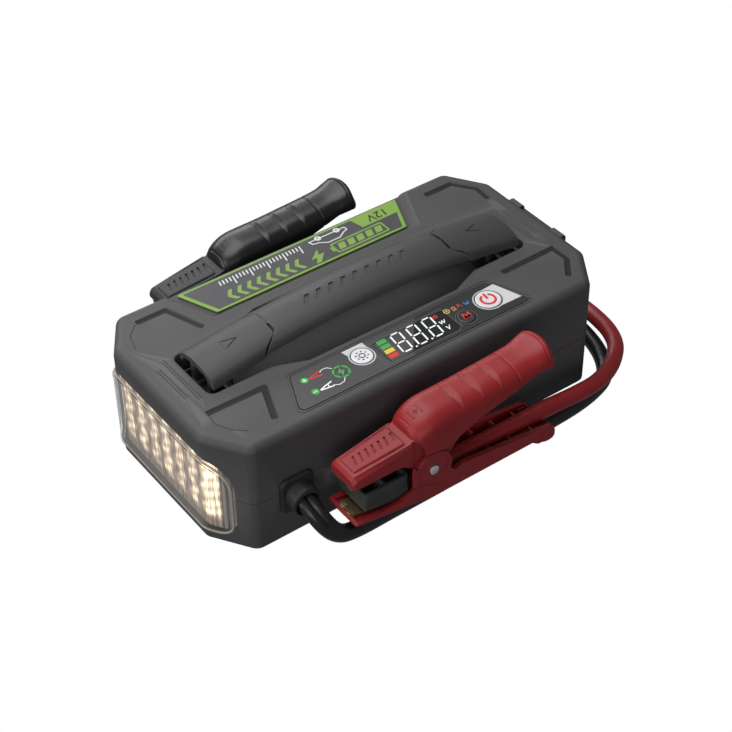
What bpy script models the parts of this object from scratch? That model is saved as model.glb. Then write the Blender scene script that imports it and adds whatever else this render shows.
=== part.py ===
"""Portable jump starter pack with a carrying strap, a work lamp and two docked battery clamps.

Sizes are in millimetres; MM turns them into Blender's metres. X runs along the case, with the
lamp at -X and the ports at +X. -Y is the control side. The rubber feet stand on Z = 0.
"""

import math

import bmesh
import bpy
from mathutils import Matrix, Vector

MM = 0.001

# Case
CASE_LENGTH = 240.0
CASE_WIDTH = 124.5
CORNER_X = 15.0  # corner facet along X
CORNER_Y = 23.0  # corner facet along Y
FOOT_HEIGHT = 3.5
CASE_TOP = 70.5
PARTING_Z = 34.5
WALL = 2.6
CEILING = 67.5
FLOOR = 7.0
GAP = 0.3  # between solids that touch
TOP_FILLET = 4.0
BOTTOM_FILLET = 2.0

HALF_X = CASE_LENGTH / 2
HALF_Y = CASE_WIDTH / 2

# Carrying strap
STRAP_CREST = 85.8
STRAP_FALL = 8.3  # crest height lost from the middle to the cap ends
STRAP_END = 96.0
STRAP_CROWN = 3.0
STRAP_THICKNESS = 4.5
CAP_THICKNESS = 3.5
CAP_PARTING = 0.8
CHEVRON_TIP = 55.0
CHEVRON_BACK = 64.0
CAP_HINGE_X = 59.5
CAP_HINGE_Z = 75.0
ANCHOR_X = 86.0
ANCHOR_Z = 65.5
WELL_FLOOR = 47.5
WELL_END_FLOOR = 56.0
WELL_WALL = 2.2

# Control panel, on the -Y side of the top
PANEL_RECESS = 69.5
PANEL_TOP = 70.6
PANEL_OUTLINE = [(-61.3, -29.4), (61.3, -29.4), (72.0, -54.3), (-72.0, -54.3)]
DISPLAY = (-14.8, 28.3, -50.9, -34.7)  # x low, x high, y low, y high
BUTTONS = {  # name: (x, y, radius)
    "power": (53.3, -41.6, 6.8),
    "light": (-24.1, -38.6, 5.6),
    "mode": (35.8, -45.7, 4.8),
}
BOARD_TOP = 62.6
SWITCH_TOP = 66.2
BUTTON_TOP = 71.1

# Lamp across the -X end
LAMP_HALF_WIDTH = 53.3
LAMP_LOW = 9.2
LAMP_HIGH = 56.8
LAMP_PROUD = 1.4
LAMP_INSIDE = 1.6
LAMP_COLUMNS = 7

# Battery
CELL_SIZE = (138.0, 66.0, 8.2)
CELL_COUNT = 4
CELL_PITCH = 8.7
CELL_BASE = 9.0

# Screws and feet
SCREW_PLACE = (84.0, 50.0)
FOOT_PLACE = (96.5, 53.5)
FOOT_RADIUS = 6.0

# Cable glands, near the lamp end
GLAND_X = -82.0
GLAND_Z = 31.5
BOSS_RADIUS = 7.4
BORE_RADIUS = 6.5
BOSS_REACH = 72.5

# Clamps: u, v and w run along X, Y and Z from the pin
CLAMP_Y = 83.0
PIN_X = -22.4
PIN_Z = 35.5
PIN_RADIUS = 2.7
CHEEK_RADIUS = 11.0
ARM_HALF_WIDTH = 11.5
ARM_INSIDE = 9.5
JAW_HALF_WIDTH = 9.0
JAW_INSIDE = 6.8
GRIP_HALF_WIDTH = 13.0
GRIP_INSIDE = 10.4
RIB_PLACES = (24.0, 38.0, 52.0, 66.0)

# Leads
LEAD_RADIUS = 4.5
LEAD_SPACING = 18.0
LEAD_BEND_SPACING = 6.0  # in the tight bend at the gland
LEAD_BEND_LENGTH = 54.0
LEAD_END_X = 5.0
# Route from the gland on the -Y side, round the +X end, to the clamp on the +Y side
BLACK_ROUTE = [
    (-82.0, -64.5, 32.6), (-81.9, -69.0, 31.6), (-81.1, -73.9, 28.5), (-79.4, -77.7, 23.8),
    (-76.7, -80.2, 18.3), (-73.0, -81.4, 13.0), (-67.8, -81.4, 8.7), (-60.6, -80.5, 6.0),
    (-51.0, -79.7, 4.6), (-39.5, -79.4, 4.5), (-10.0, -79.2, 4.5), (30.0, -78.4, 4.5),
    (67.4, -77.0, 4.5), (87.8, -75.8, 4.5), (101.9, -73.3, 4.5), (112.1, -69.6, 4.5),
    (119.0, -64.0, 4.5), (124.4, -55.8, 4.5), (128.4, -46.0, 4.5), (131.0, -35.0, 4.5),
    (133.0, -15.0, 4.5), (132.5, 8.0, 4.5), (129.0, 32.0, 5.5), (122.0, 53.0, 9.5),
    (110.0, 69.0, 14.5), (95.0, 78.5, 18.5), (78.0, 82.3, 21.3), (58.0, 83.0, 22.6),
    (30.0, 83.0, 22.6), (LEAD_END_X, 83.0, 22.6),
]
# Route from the gland on the +Y side, round the +X end, to the clamp on the -Y side
RED_ROUTE = [
    (-82.0, 64.5, 32.6), (-81.9, 69.0, 31.6), (-81.3, 74.0, 28.6), (-80.0, 78.2, 24.0),
    (-77.7, 81.1, 18.4), (-74.2, 82.6, 13.0), (-69.0, 82.6, 8.7), (-61.8, 81.6, 6.0),
    (-52.0, 80.5, 4.6), (-40.0, 80.0, 4.5), (-10.0, 79.6, 4.5), (40.0, 79.8, 4.5),
    (75.0, 80.0, 4.5), (98.0, 78.6, 4.5), (118.0, 71.5, 4.5), (132.0, 58.0, 4.5),
    (140.5, 38.0, 4.5), (144.3, 15.0, 4.5), (144.5, -5.0, 5.5), (142.3, -20.0, 8.5),
    (138.9, -33.0, 12.0), (135.3, -48.0, 13.6), (129.8, -59.5, 13.9), (121.5, -67.5, 14.2),
    (110.5, -74.5, 15.6), (97.0, -79.8, 17.8), (80.0, -82.5, 20.6), (58.0, -83.0, 22.6),
    (30.0, -83.0, 22.6), (LEAD_END_X, -83.0, 22.6),
]

# Port cover on the +X end
COVER_HINGE = (121.9, 65.3)  # x, z
LUG_Y = 17.0

CLEARING_MERGE = 0.00001


# ---------------------------------------------------------------- scene and materials

def clear_scene():
    for item in list(bpy.data.objects):
        bpy.data.objects.remove(item, do_unlink=True)


def collection(name):
    group = bpy.data.collections.new(name)
    bpy.context.scene.collection.children.link(group)
    return group


def material(name, colour, roughness, metallic=0.0, alpha=1.0):
    made = bpy.data.materials.new(name)
    made.use_nodes = True
    shader = made.node_tree.nodes["Principled BSDF"]
    shader.inputs["Base Color"].default_value = (*colour, 1.0)
    shader.inputs["Roughness"].default_value = roughness
    shader.inputs["Metallic"].default_value = metallic
    shader.inputs["Alpha"].default_value = alpha
    made.diffuse_color = (*colour, alpha)
    return made


clear_scene()
PARTS = collection("jump_starter_pack")
CUTTERS = collection("cutters")

CASE_GREY = material("case_grey", (0.075, 0.072, 0.075), 0.55)
CLAMP_RED = material("clamp_red", (0.42, 0.03, 0.035), 0.42)
GRIP_BLACK = material("grip_black", (0.012, 0.012, 0.013), 0.3)
JAW_GREY = material("jaw_grey", (0.06, 0.058, 0.06), 0.55)
LEAD_RED = material("lead_red", (0.45, 0.02, 0.03), 0.35)
LEAD_BLACK = material("lead_black", (0.012, 0.012, 0.013), 0.35)
RUBBER = material("black_rubber", (0.02, 0.02, 0.02), 0.8)
CLEAR = material("clear_lens", (0.95, 0.93, 0.88), 0.08, alpha=0.35)
REFLECTOR = material("white_reflector", (0.85, 0.82, 0.74), 0.3)
BOARD_GREEN = material("board_green", (0.02, 0.12, 0.05), 0.5)
OVERLAY = material("overlay_grey", (0.06, 0.06, 0.062), 0.35)
BUTTON_WHITE = material("button_white", (0.85, 0.85, 0.85), 0.4)
DISPLAY_BLACK = material("display_black", (0.01, 0.01, 0.012), 0.2)
LABEL_GREEN = material("label_green", (0.35, 0.62, 0.05), 0.4)
CELL_SILVER = material("cell_silver", (0.55, 0.56, 0.58), 0.35, 0.6)
COPPER = material("copper", (0.75, 0.42, 0.18), 0.3, 1.0)
STEEL = material("steel", (0.62, 0.62, 0.63), 0.28, 1.0)


# ---------------------------------------------------------------- solids

def add(name, mesh, finish, group=None):
    mesh.name = name
    mesh.materials.clear()
    if finish:
        mesh.materials.append(finish)
    item = bpy.data.objects.new(name, mesh)
    (group or PARTS).objects.link(item)
    return item


def mesh_from(bm):
    mesh = bpy.data.meshes.new("mesh")
    bmesh.ops.recalc_face_normals(bm, faces=bm.faces)
    bm.to_mesh(mesh)
    bm.free()
    return mesh


def box(name, low, high, finish=None):
    """Block between two corners."""
    bm = bmesh.new()
    bmesh.ops.create_cube(bm, size=1.0)
    size = [(high[k] - low[k]) * MM for k in range(3)]
    middle = [(high[k] + low[k]) / 2 * MM for k in range(3)]
    bmesh.ops.scale(bm, verts=bm.verts, vec=size)
    bmesh.ops.translate(bm, verts=bm.verts, vec=middle)
    return add(name, mesh_from(bm), finish)


def rod(name, start, end, radius, finish=None, sides=24, end_radius=None):
    """Round bar, or a cone, between two points."""
    a, b = Vector(start) * MM, Vector(end) * MM
    bm = bmesh.new()
    bmesh.ops.create_cone(
        bm, cap_ends=True, segments=sides, radius1=radius * MM,
        radius2=(radius if end_radius is None else end_radius) * MM, depth=(b - a).length,
    )
    turn = (b - a).to_track_quat("Z", "Y").to_matrix().to_4x4()
    bmesh.ops.transform(bm, matrix=Matrix.Translation((a + b) / 2) @ turn, verts=bm.verts)
    return add(name, mesh_from(bm), finish)


def mesh_of_curve(item):
    """Closed mesh of a curve object, which is removed."""
    bpy.context.view_layer.update()
    evaluated = item.evaluated_get(bpy.context.evaluated_depsgraph_get())
    mesh = bpy.data.meshes.new_from_object(evaluated)
    mesh.transform(item.matrix_world)
    bpy.data.objects.remove(item, do_unlink=True)
    bm = bmesh.new()
    bm.from_mesh(mesh)
    bmesh.ops.remove_doubles(bm, verts=bm.verts, dist=CLEARING_MERGE)
    bmesh.ops.dissolve_limit(bm, angle_limit=math.radians(0.2), verts=bm.verts, edges=bm.edges)
    bpy.data.meshes.remove(mesh)
    return mesh_from(bm)


# How an outline drawn in two axes is stood up along the third
STAND = {
    "Z": Matrix.Identity(4),
    "Y": Matrix(((1, 0, 0, 0), (0, 0, -1, 0), (0, 1, 0, 0), (0, 0, 0, 1))),
    "X": Matrix(((0, 0, 1, 0), (1, 0, 0, 0), (0, 1, 0, 0), (0, 0, 0, 1))),
}


def slab(name, outline, axis, low, high, finish=None):
    """Flat outline, given in the two other axes, extruded along axis from low to high."""
    curve = bpy.data.curves.new(name, "CURVE")
    curve.dimensions = "2D"
    curve.fill_mode = "BOTH"
    curve.extrude = (high - low) / 2 * MM
    line = curve.splines.new("POLY")
    line.points.add(len(outline) - 1)
    for point, (a, b) in zip(line.points, outline):
        point.co = (a * MM, b * MM, 0.0, 1.0)
    line.use_cyclic_u = True
    item = bpy.data.objects.new(name, curve)
    PARTS.objects.link(item)
    middle = (low + high) / 2 * MM
    shift = {"Z": (0, 0, middle), "Y": (0, middle, 0), "X": (middle, 0, 0)}[axis]
    item.matrix_world = Matrix.Translation(shift) @ STAND[axis]
    return add(name, mesh_of_curve(item), finish)


def rounded(outline, radius, steps=4):
    """The outline with each corner turned into an arc; radius may be a list, one for each corner."""
    out = []
    count = len(outline)
    for k, corner in enumerate(outline):
        r = radius[k] if isinstance(radius, (list, tuple)) else radius
        here = Vector(corner)
        back = (Vector(outline[k - 1]) - here).normalized()
        ahead = (Vector(outline[(k + 1) % count]) - here).normalized()
        if r <= 0:
            out.append(tuple(here))
            continue
        half = back.angle(ahead) / 2
        centre = here + (back + ahead).normalized() * (r / math.sin(half))
        start = here + back * (r / math.tan(half)) - centre
        end = here + ahead * (r / math.tan(half)) - centre
        first = math.atan2(start.y, start.x)
        sweep = (math.atan2(end.y, end.x) - first + math.pi) % (2 * math.pi) - math.pi
        for step in range(steps + 1):
            angle = first + sweep * step / steps
            out.append((centre.x + r * math.cos(angle), centre.y + r * math.sin(angle)))
    return out


def arc(centre, radius, start, end, steps):
    """Points on a circle, from start to end in degrees."""
    out = []
    for step in range(steps + 1):
        angle = math.radians(start + (end - start) * step / steps)
        out.append((centre[0] + radius * math.cos(angle), centre[1] + radius * math.sin(angle)))
    return out


def hide(item):
    PARTS.objects.unlink(item)
    CUTTERS.objects.link(item)
    item.hide_render = True
    item.display_type = "WIRE"


def combine(item, others, operation):
    for other in others:
        if other.name in PARTS.objects:
            hide(other)
        step = item.modifiers.new(operation.lower(), "BOOLEAN")
        step.operation = operation
        step.solver = "EXACT"
        step.object = other
    return item


def cut(item, *others):
    return combine(item, others, "DIFFERENCE")


def join(item, *others):
    return combine(item, others, "UNION")


def keep_inside(item, *others):
    return combine(item, others, "INTERSECT")


def bevel(item, width, segments=2, angle=35.0):
    step = item.modifiers.new("bevel", "BEVEL")
    step.width = width * MM
    step.segments = segments
    step.limit_method = "ANGLE"
    step.angle_limit = math.radians(angle)
    step.use_clamp_overlap = True
    return item


def bevel_weighted(item, width, segments, weigh):
    """Bevels the edges for which weigh(a, b), given their ends in millimetres, is above 0."""
    bm = bmesh.new()
    bm.from_mesh(item.data)
    layer = bm.edges.layers.float.new("bevel_weight_edge")
    for edge in bm.edges:
        ends = [vert.co / MM for vert in edge.verts]
        edge[layer] = weigh(*ends)
    bm.to_mesh(item.data)
    bm.free()
    step = item.modifiers.new("bevel", "BEVEL")
    step.width = width * MM
    step.segments = segments
    step.limit_method = "WEIGHT"
    return item


def bake(item):
    """Turns the item's modifiers into its mesh, and returns the mesh."""
    bpy.context.view_layer.update()
    evaluated = item.evaluated_get(bpy.context.evaluated_depsgraph_get())
    mesh = bpy.data.meshes.new_from_object(evaluated)
    item.modifiers.clear()
    item.data = mesh
    return mesh


def set_origin(item, point):
    """Moves the item's origin to a point, without moving its solid."""
    place = Vector(point) * MM
    item.data.transform(Matrix.Translation(-place))
    item.location = place


def pivot(name, point):
    item = bpy.data.objects.new(name, None)
    item.empty_display_size = 0.01
    item.location = Vector(point) * MM
    PARTS.objects.link(item)
    return item


def hang(parent, *items):
    """Parents the items to an empty on their joint's axis, where they are."""
    for item in items:
        item.parent = parent
        item.matrix_parent_inverse = Matrix.Translation(-parent.location)


def smooth(item, angle=35.0):
    item.data.shade_smooth()
    item.data.set_sharp_from_angle(angle=math.radians(angle))
    return item


# ---------------------------------------------------------------- case

def plan(inset=0.0):
    """Plan outline of the case, an oblong with four corner facets, moved in by inset."""
    a, b = HALF_X - inset, HALF_Y - inset
    length = math.hypot(CORNER_X, CORNER_Y)
    reach = CORNER_Y * HALF_X + CORNER_X * HALF_Y - CORNER_X * CORNER_Y - inset * length
    x = (reach - CORNER_X * b) / CORNER_Y
    y = (reach - CORNER_Y * a) / CORNER_X
    return [(x, -b), (a, -y), (a, y), (x, b), (-x, b), (-a, y), (-a, -y), (-x, -b)]


def case_blank(name, finish=None):
    """The whole outer form of the case, with its top and bottom edges rounded."""
    outline = rounded(plan(), 6.0, 3)
    item = slab(name, outline, "Z", FOOT_HEIGHT, CASE_TOP, finish)

    def weigh(a, b):
        if abs(a.z - b.z) > 0.1:
            return 0.0
        return 1.0 if a.z > PARTING_Z else BOTTOM_FILLET / TOP_FILLET

    return bevel_weighted(item, TOP_FILLET, 3, weigh)


def well_ends(grow=0.0):
    """Plan of the shallow ends of the finger well, under the strap's caps."""
    x, y = 99.0 + grow, 17.5 + grow
    return [(-x, -y), (x, -y), (x, y), (-x, y)]


def well_middle(grow=0.0):
    """Plan of the deep middle of the finger well, wide enough for a hand."""
    half = [(-78, -16.4), (-64, -17.1), (-46, -24.5), (46, -24.5), (64, -17.1), (78, -16.4)]
    lower = [(x + math.copysign(grow, x) * (abs(x) > 70), y - grow) for x, y in half]
    return lower + [(x, -y) for x, y in reversed(lower)]


NOTCH = [(-66, 33.3), (66, 33.3), (80.5, 67), (-80.5, 67)]
NOTCH_FLOOR = 66.5


def band(points, width):
    """Outline of a strip of the given width along a line of points."""
    left, right = [], []
    for k, point in enumerate(points):
        here = Vector(point)
        before = (here - Vector(points[k - 1])).normalized() if k else None
        after = (Vector(points[k + 1]) - here).normalized() if k + 1 < len(points) else None
        along = ((before or after) + (after or before)).normalized()
        side = Vector((-along.y, along.x))
        spread = width / 2 / max(0.4, side.dot(Vector((-(after or before).y, (after or before).x))))
        left.append(tuple(here + side * spread))
        right.append(tuple(here - side * spread))
    return left + right[::-1]


# Sunk lines that mark the four corners of the top
CORNER_LINES = [
    [(-107.6, -28.0), (-75.3, -28.6), (-83.6, -50.2)],
    [(-99.5, 50.6), (-82.3, 50.6), (-74.2, 28.0)],
    [(73.5, -28.5), (108.0, -28.3), (108.2, -39.8), (99.2, -51.3)],
    [(83.8, 50.0), (101.7, 50.0), (110.3, 38.0), (109.6, 27.0)],
]


def build_upper_housing():
    item = case_blank("upper_housing", CASE_GREY)
    below = box("below_parting", (-200, -100, -10), (200, 100, PARTING_Z + GAP / 2))
    inside = slab("upper_inside", plan(WALL), "Z", PARTING_Z - 5, CEILING)
    bosses = []
    for sx in (-1, 1):
        for sy in (-1, 1):
            x, y = sx * SCREW_PLACE[0], sy * SCREW_PLACE[1]
            bosses.append(rod(f"upper_boss_{len(bosses)}", (x, y, 20), (x, y, 80), 4.0, sides=16))
    cut(
        inside,
        slab("well_skin", well_ends(WELL_WALL), "Z", WELL_END_FLOOR - WELL_WALL, 80),
        slab("well_middle_skin", well_middle(WELL_WALL), "Z", WELL_FLOOR - WELL_WALL, 80),
        slab("notch_skin", [(-70, 30.5), (70, 30.5), (86, 67), (-86, 67)], "Z", 63.8, 80),
        *bosses,
    )
    cut(
        item,
        below,
        inside,
        slab("well", well_ends(), "Z", WELL_END_FLOOR, 80),
        slab("well_deep", well_middle(), "Z", WELL_FLOOR, 80),
        slab("notch", NOTCH, "Z", NOTCH_FLOOR, 80),
        slab("panel_recess", rounded(PANEL_OUTLINE, 3, 3), "Z", PANEL_RECESS, 80),
        box("display_hole", (DISPLAY[0] + 1, DISPLAY[2] + 1, 60), (DISPLAY[1] - 1, DISPLAY[3] - 1, 80)),
        box("port_hole", (112, -22, 42), (130, 22, 58)),
    )
    for name, (x, y, radius) in BUTTONS.items():
        cut(item, rod(f"{name}_hole", (x, y, 60), (x, y, 80), radius + 0.5))
    for k, line in enumerate(CORNER_LINES):
        cut(item, slab(f"corner_line_{k}", band(line, 2.6), "Z", CASE_TOP - 1.2, 80))
    for k, (sx, sy) in enumerate([(-1, -1), (-1, 1), (1, -1), (1, 1)]):
        x, y = sx * SCREW_PLACE[0], sy * SCREW_PLACE[1]
        cut(item, rod(f"thread_{k}", (x, y, 20), (x, y, 50), 1.7, sides=12))
    for sign in (-1, 1):
        y = sign * LUG_Y
        lug = slab(
            f"lug_{sign + 1}",
            [(118.5, 60.5), (120.6, 60.5), (123.6, 63.2), (123.6, 67.0), (122.6, 68.2), (118.5, 68.2)],
            "Y", y - 4.5, y + 4.5,
        )
        join(item, lug)
    return item


def build_lower_housing():
    item = case_blank("lower_housing", CASE_GREY)
    above = box("above_parting", (-200, -100, PARTING_Z - GAP / 2), (200, 100, 100))
    inside = slab("lower_inside", plan(WALL), "Z", FLOOR, 60)
    places = [(sx * SCREW_PLACE[0], sy * SCREW_PLACE[1]) for sx in (-1, 1) for sy in (-1, 1)]
    cut(inside, *[
        rod(f"lower_boss_{k}", (x, y, 0), (x, y, 50), 5.4, sides=16) for k, (x, y) in enumerate(places)
    ])
    cut(item, above, inside, box("belly", (-75, -80, 0), (75, 80, 5.0)))
    for k, (x, y) in enumerate(places):
        cut(item, rod(f"screw_way_{k}", (x, y, 0), (x, y, 50), 1.9, sides=12))
        cut(item, rod(f"head_way_{k}", (x, y, 0), (x, y, 7.4), 4.2, sides=16))
    return item


def lamp_outline(grow=0.0):
    """Front view of the lamp opening, in Y and Z."""
    w, low, high = LAMP_HALF_WIDTH + grow, LAMP_LOW - grow, LAMP_HIGH + grow
    corners = [(-w, low), (w, low), (w, high), (-w, high)]
    return rounded(corners, 10.0, 4)


def build_lamp(upper, lower):
    opening = slab("lamp_opening", lamp_outline(GAP), "X", -130, -104)
    cut(upper, opening)
    cut(lower, opening)
    lens = slab("lamp_lens", plan(-LAMP_PROUD), "Z", LAMP_LOW - 5, LAMP_HIGH + 5, CLEAR)
    keep_inside(lens, slab("lamp_front", lamp_outline(), "X", -130, -104.3))
    cut(lens, slab("lamp_back", plan(LAMP_INSIDE), "Z", 0, 90))
    reflector = box("lamp_reflector", (-117.9, -36, 12.5), (-113.6, 36, 53.5), REFLECTOR)
    pitch = 72.0 / LAMP_COLUMNS
    for k in range(LAMP_COLUMNS):
        middle = -36 + pitch * (k + 0.5)
        low, high = (-120, middle - pitch * 0.36, 15.5), (-110, middle + pitch * 0.36, 50.5)
        cut(reflector, box(f"column_{k}", low, high))
    board = box("lamp_led_board", (-113.2, -35, 13.5), (-111.7, 35, 52.5), BOARD_GREEN)
    for k in range(LAMP_COLUMNS):
        middle = -36 + pitch * (k + 0.5)
        join(board, box(f"strip_{k}", (-114.2, middle - 1.6, 17), (-112.9, middle + 1.6, 49)))


def build_feet_and_screws():
    for k, (sx, sy) in enumerate([(-1, -1), (-1, 1), (1, -1), (1, 1)]):
        side = f"{'left' if sx < 0 else 'right'}_{'front' if sy < 0 else 'back'}"
        x, y = sx * FOOT_PLACE[0], sy * FOOT_PLACE[1]
        foot = rod(f"foot_{side}", (x, y, 0), (x, y, FOOT_HEIGHT - GAP), FOOT_RADIUS - 0.4, RUBBER,
                   end_radius=FOOT_RADIUS)
        smooth(foot)
        x, y = sx * SCREW_PLACE[0], sy * SCREW_PLACE[1]
        screw = rod(f"screw_{side}", (x, y, 4.4), (x, y, 7.0), 3.7, STEEL, 16)
        join(screw, rod(f"shank_{k}", (x, y, 6.0), (x, y, 46), 1.3, sides=10))
        cut(screw, rod(f"drive_{k}", (x, y, 3), (x, y, 6.0), 1.5, sides=6))


# ---------------------------------------------------------------- inside

def build_battery():
    length, width, height = CELL_SIZE
    tray = box("battery_tray", (-72.5, -36.5, FLOOR + GAP), (72.5, 36.5, 15), JAW_GREY)
    cut(tray, box("tray_inside", (-70.3, -34.3, 8.6), (70.3, 34.3, 30)))
    for k in range(CELL_COUNT):
        low = CELL_BASE + k * CELL_PITCH
        cell = box(
            f"battery_cell_{k + 1}", (-length / 2, -width / 2, low),
            (length / 2, width / 2, low + height), CELL_SILVER,
        )
        bevel(cell, 1.5, 2)
    for name, sign, y in (("busbar_positive", 1, -16.0), ("busbar_negative", -1, 16.0)):
        bend = [(69.4, 40.5), (74.0, 40.5), (74.0, 17), (80.5, 17), (80.5, 18.4), (75.4, 18.4),
                (75.4, 41.9), (69.4, 41.9)]
        slab(name, [(sign * x, z) for x, z in bend], "Y", y - 6, y + 6, COPPER)
    relay = box("start_relay", (82.0, -26, FLOOR + GAP), (108.0, 6, 33.0), JAW_GREY)
    bevel(relay, 1.2, 1)


def build_boards():
    box("main_board", (-74, -57, BOARD_TOP - 1.6), (74, -28.5, BOARD_TOP), BOARD_GREEN)
    module = box(
        "display_module", (DISPLAY[0] - 1, DISPLAY[2] - 1, BOARD_TOP + GAP),
        (DISPLAY[1] + 1, DISPLAY[3] + 1, 67.1), DISPLAY_BLACK,
    )
    bevel(module, 0.5, 1)
    for name, (x, y, _) in BUTTONS.items():
        switch = box(
            f"{name}_switch", (x - 3, y - 3, BOARD_TOP + GAP), (x + 3, y + 3, SWITCH_TOP - 1), JAW_GREY
        )
        join(switch, rod(f"{name}_plunger", (x, y, 64), (x, y, SWITCH_TOP), 1.7, sides=12))
    ports = box("port_board", (112.2, -24, 39), (113.8, 24, 61), BOARD_GREEN)
    for k, (y, width, height) in enumerate([(-13.5, 6.9, 3.3), (0, 4.7, 1.9), (13.5, 6.9, 3.3)]):
        low, high = (113.5, y - width, 50 - height), (118.6, y + width, 50 + height)
        mouth_low = (114.4, y - width + 0.7, 50 - height + 0.7)
        mouth_high = (125, y + width - 0.7, 50 + height - 0.7)
        join(ports, cut(box(f"socket_{k}", low, high), box(f"mouth_{k}", mouth_low, mouth_high)))


# ---------------------------------------------------------------- control panel and label

def build_panel():
    overlay = slab("panel_overlay", rounded(shrunk(PANEL_OUTLINE, GAP), 2.7, 3), "Z",
                   PANEL_RECESS + GAP, PANEL_TOP, OVERLAY)
    x0, x1, y0, y1 = DISPLAY
    cut(overlay, box("window_hole", (x0 - GAP, y0 - GAP, 60), (x1 + GAP, y1 + GAP, 80)))
    box("display_window", (x0, y0, PANEL_RECESS + GAP), (x1, y1, PANEL_TOP - 0.1), DISPLAY_BLACK)
    for name, (x, y, radius) in BUTTONS.items():
        cut(overlay, rod(f"{name}_port", (x, y, 60), (x, y, 80), radius + 0.4))
        button = rod(f"{name}_button", (x, y, 67.4), (x, y, BUTTON_TOP), radius, BUTTON_WHITE, 32)
        bevel(button, 0.4, 2)
        join(button, rod(f"{name}_stem", (x, y, 66.9), (x, y, 68), 2.2, sides=12))
        set_origin(button, (x, y, 67.4))
        smooth(button)


def shrunk(outline, inset):
    """The outline of four corners moved in by inset towards their middle."""
    cx = sum(x for x, _ in outline) / len(outline)
    cy = sum(y for _, y in outline) / len(outline)
    return [(x - math.copysign(inset * 1.2, x - cx), y - math.copysign(inset, y - cy)) for x, y in outline]


def build_label():
    outline = [(-60.2, 36.6), (60.8, 36.6), (70.8, 60.6), (-70.0, 60.6)]
    slab("label_plate", rounded(outline, 0.8, 2), "Z", NOTCH_FLOOR + GAP, NOTCH_FLOOR + 1.1, LABEL_GREEN)


# ---------------------------------------------------------------- strap

def chevron_x(y):
    """Where the cap meets the strap: a blunt tongue, narrowing towards the middle of the strap."""
    side = 15.0
    start = 9.0
    lean = max(0.0, (abs(y) - start) / (side - start))
    return CHEVRON_TIP + lean * (CHEVRON_BACK - CHEVRON_TIP)


def strap_height(x, y):
    side = strap_side(x)
    return STRAP_CREST - STRAP_FALL * (x / STRAP_END) ** 2 - STRAP_CROWN * (y / side) ** 2


def strap_side(x):
    return 14.0 + 1.0 * (x / STRAP_END) ** 2


def strap_sheet(name, start, end, columns, thickness, finish):
    """Curved sheet between two ends, each a function of y giving x."""
    bm = bmesh.new()
    bmesh.ops.create_grid(bm, x_segments=columns, y_segments=10, size=1.0)
    for vert in bm.verts:
        s, t = (vert.co.x + 1) / 2, vert.co.y
        y = t * 15.0
        x = start(y) * (1 - s) + end(y) * s
        y = t * strap_side(x)
        vert.co = Vector((x, y, strap_height(x, y))) * MM
    item = add(name, mesh_from(bm), finish)
    shell = item.modifiers.new("thickness", "SOLIDIFY")
    shell.thickness = thickness * MM
    shell.offset = -1.0
    return item


def faces_up(item):
    """Turns an open sheet so that its faces point up, and Solidify then thickens it downwards."""
    mesh = item.data
    if mesh.polygons[0].normal.z < 0:
        mesh.flip_normals()
    return item


def build_handle():
    half_gap = CAP_PARTING / 2
    strap = faces_up(strap_sheet(
        "handle_strap", lambda y: -chevron_x(y) + half_gap, lambda y: chevron_x(y) - half_gap,
        22, STRAP_THICKNESS, CASE_GREY,
    ))
    smooth(strap, 40)
    set_origin(strap, (0, 0, CAP_HINGE_Z))
    for side, sign in (("left", -1), ("right", 1)):
        cap = faces_up(strap_sheet(
            f"handle_{side}_cap", lambda y, s=sign: s * (chevron_x(y) + half_gap),
            lambda y, s=sign: s * STRAP_END, 8, CAP_THICKNESS, CASE_GREY,
        ))
        x = sign * ANCHOR_X
        inner, outer = sorted((x - sign * 5.2, x + sign * 7.8))
        for k, y in enumerate((-7.5, 7.5)):
            lug = slab(
                f"{side}_lug_{k}",
                rounded([(inner, 59.0), (outer, 59.0), (outer, 76.2), (inner, 76.2)],
                        [3, 3, 0, 0], 3),
                "Y", y - 1.5, y + 1.5,
            )
            join(cap, lug)
        inner, outer = sorted((x - sign * 2.5, x + sign * 5.4))
        low, high = (inner, -20, ANCHOR_Z - 2.7), (outer, 20, ANCHOR_Z + 3.0)
        cut(cap, box(f"{side}_slot", low, high))
        bake(cap)
        set_origin(cap, (sign * CAP_HINGE_X, 0, CAP_HINGE_Z))
        pin = rod(f"handle_{side}_pin", (x, -17.2, ANCHOR_Z), (x, 17.2, ANCHOR_Z), 2.0, STEEL, 16)
        smooth(pin)


# ---------------------------------------------------------------- glands and docks

def build_gland(side, sign, upper, lower):
    wall = sign * HALF_Y
    gland = slab(
        f"gland_{side}",
        rounded([(GLAND_X - 9.6, GLAND_Z - 10.6), (GLAND_X + 9.6, GLAND_Z - 10.6),
                 (GLAND_X + 9.6, GLAND_Z + 10.6), (GLAND_X - 9.6, GLAND_Z + 10.6)], 3.5, 3),
        "Y", min(wall + sign * GAP, wall + sign * 2.6), max(wall + sign * GAP, wall + sign * 2.6), RUBBER,
    )
    join(gland, rod(f"boss_{side}", (GLAND_X, wall + sign, GLAND_Z),
                    (GLAND_X, sign * BOSS_REACH, GLAND_Z - 0.6), BOSS_RADIUS + 0.8,
                    end_radius=BOSS_RADIUS))
    join(gland, rod(f"neck_{side}", (GLAND_X, wall - sign * 5, GLAND_Z), (GLAND_X, wall + sign * 1.5, GLAND_Z), 8.0))
    cut(gland, rod(f"bore_{side}", (GLAND_X, sign * 50, GLAND_Z + 2.8), (GLAND_X, sign * 75, GLAND_Z - 2.1), BORE_RADIUS))
    way = rod(f"gland_way_{side}", (GLAND_X, sign * 55, GLAND_Z), (GLAND_X, sign * 70, GLAND_Z), 8.4)
    cut(upper, way)
    cut(lower, way)


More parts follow.
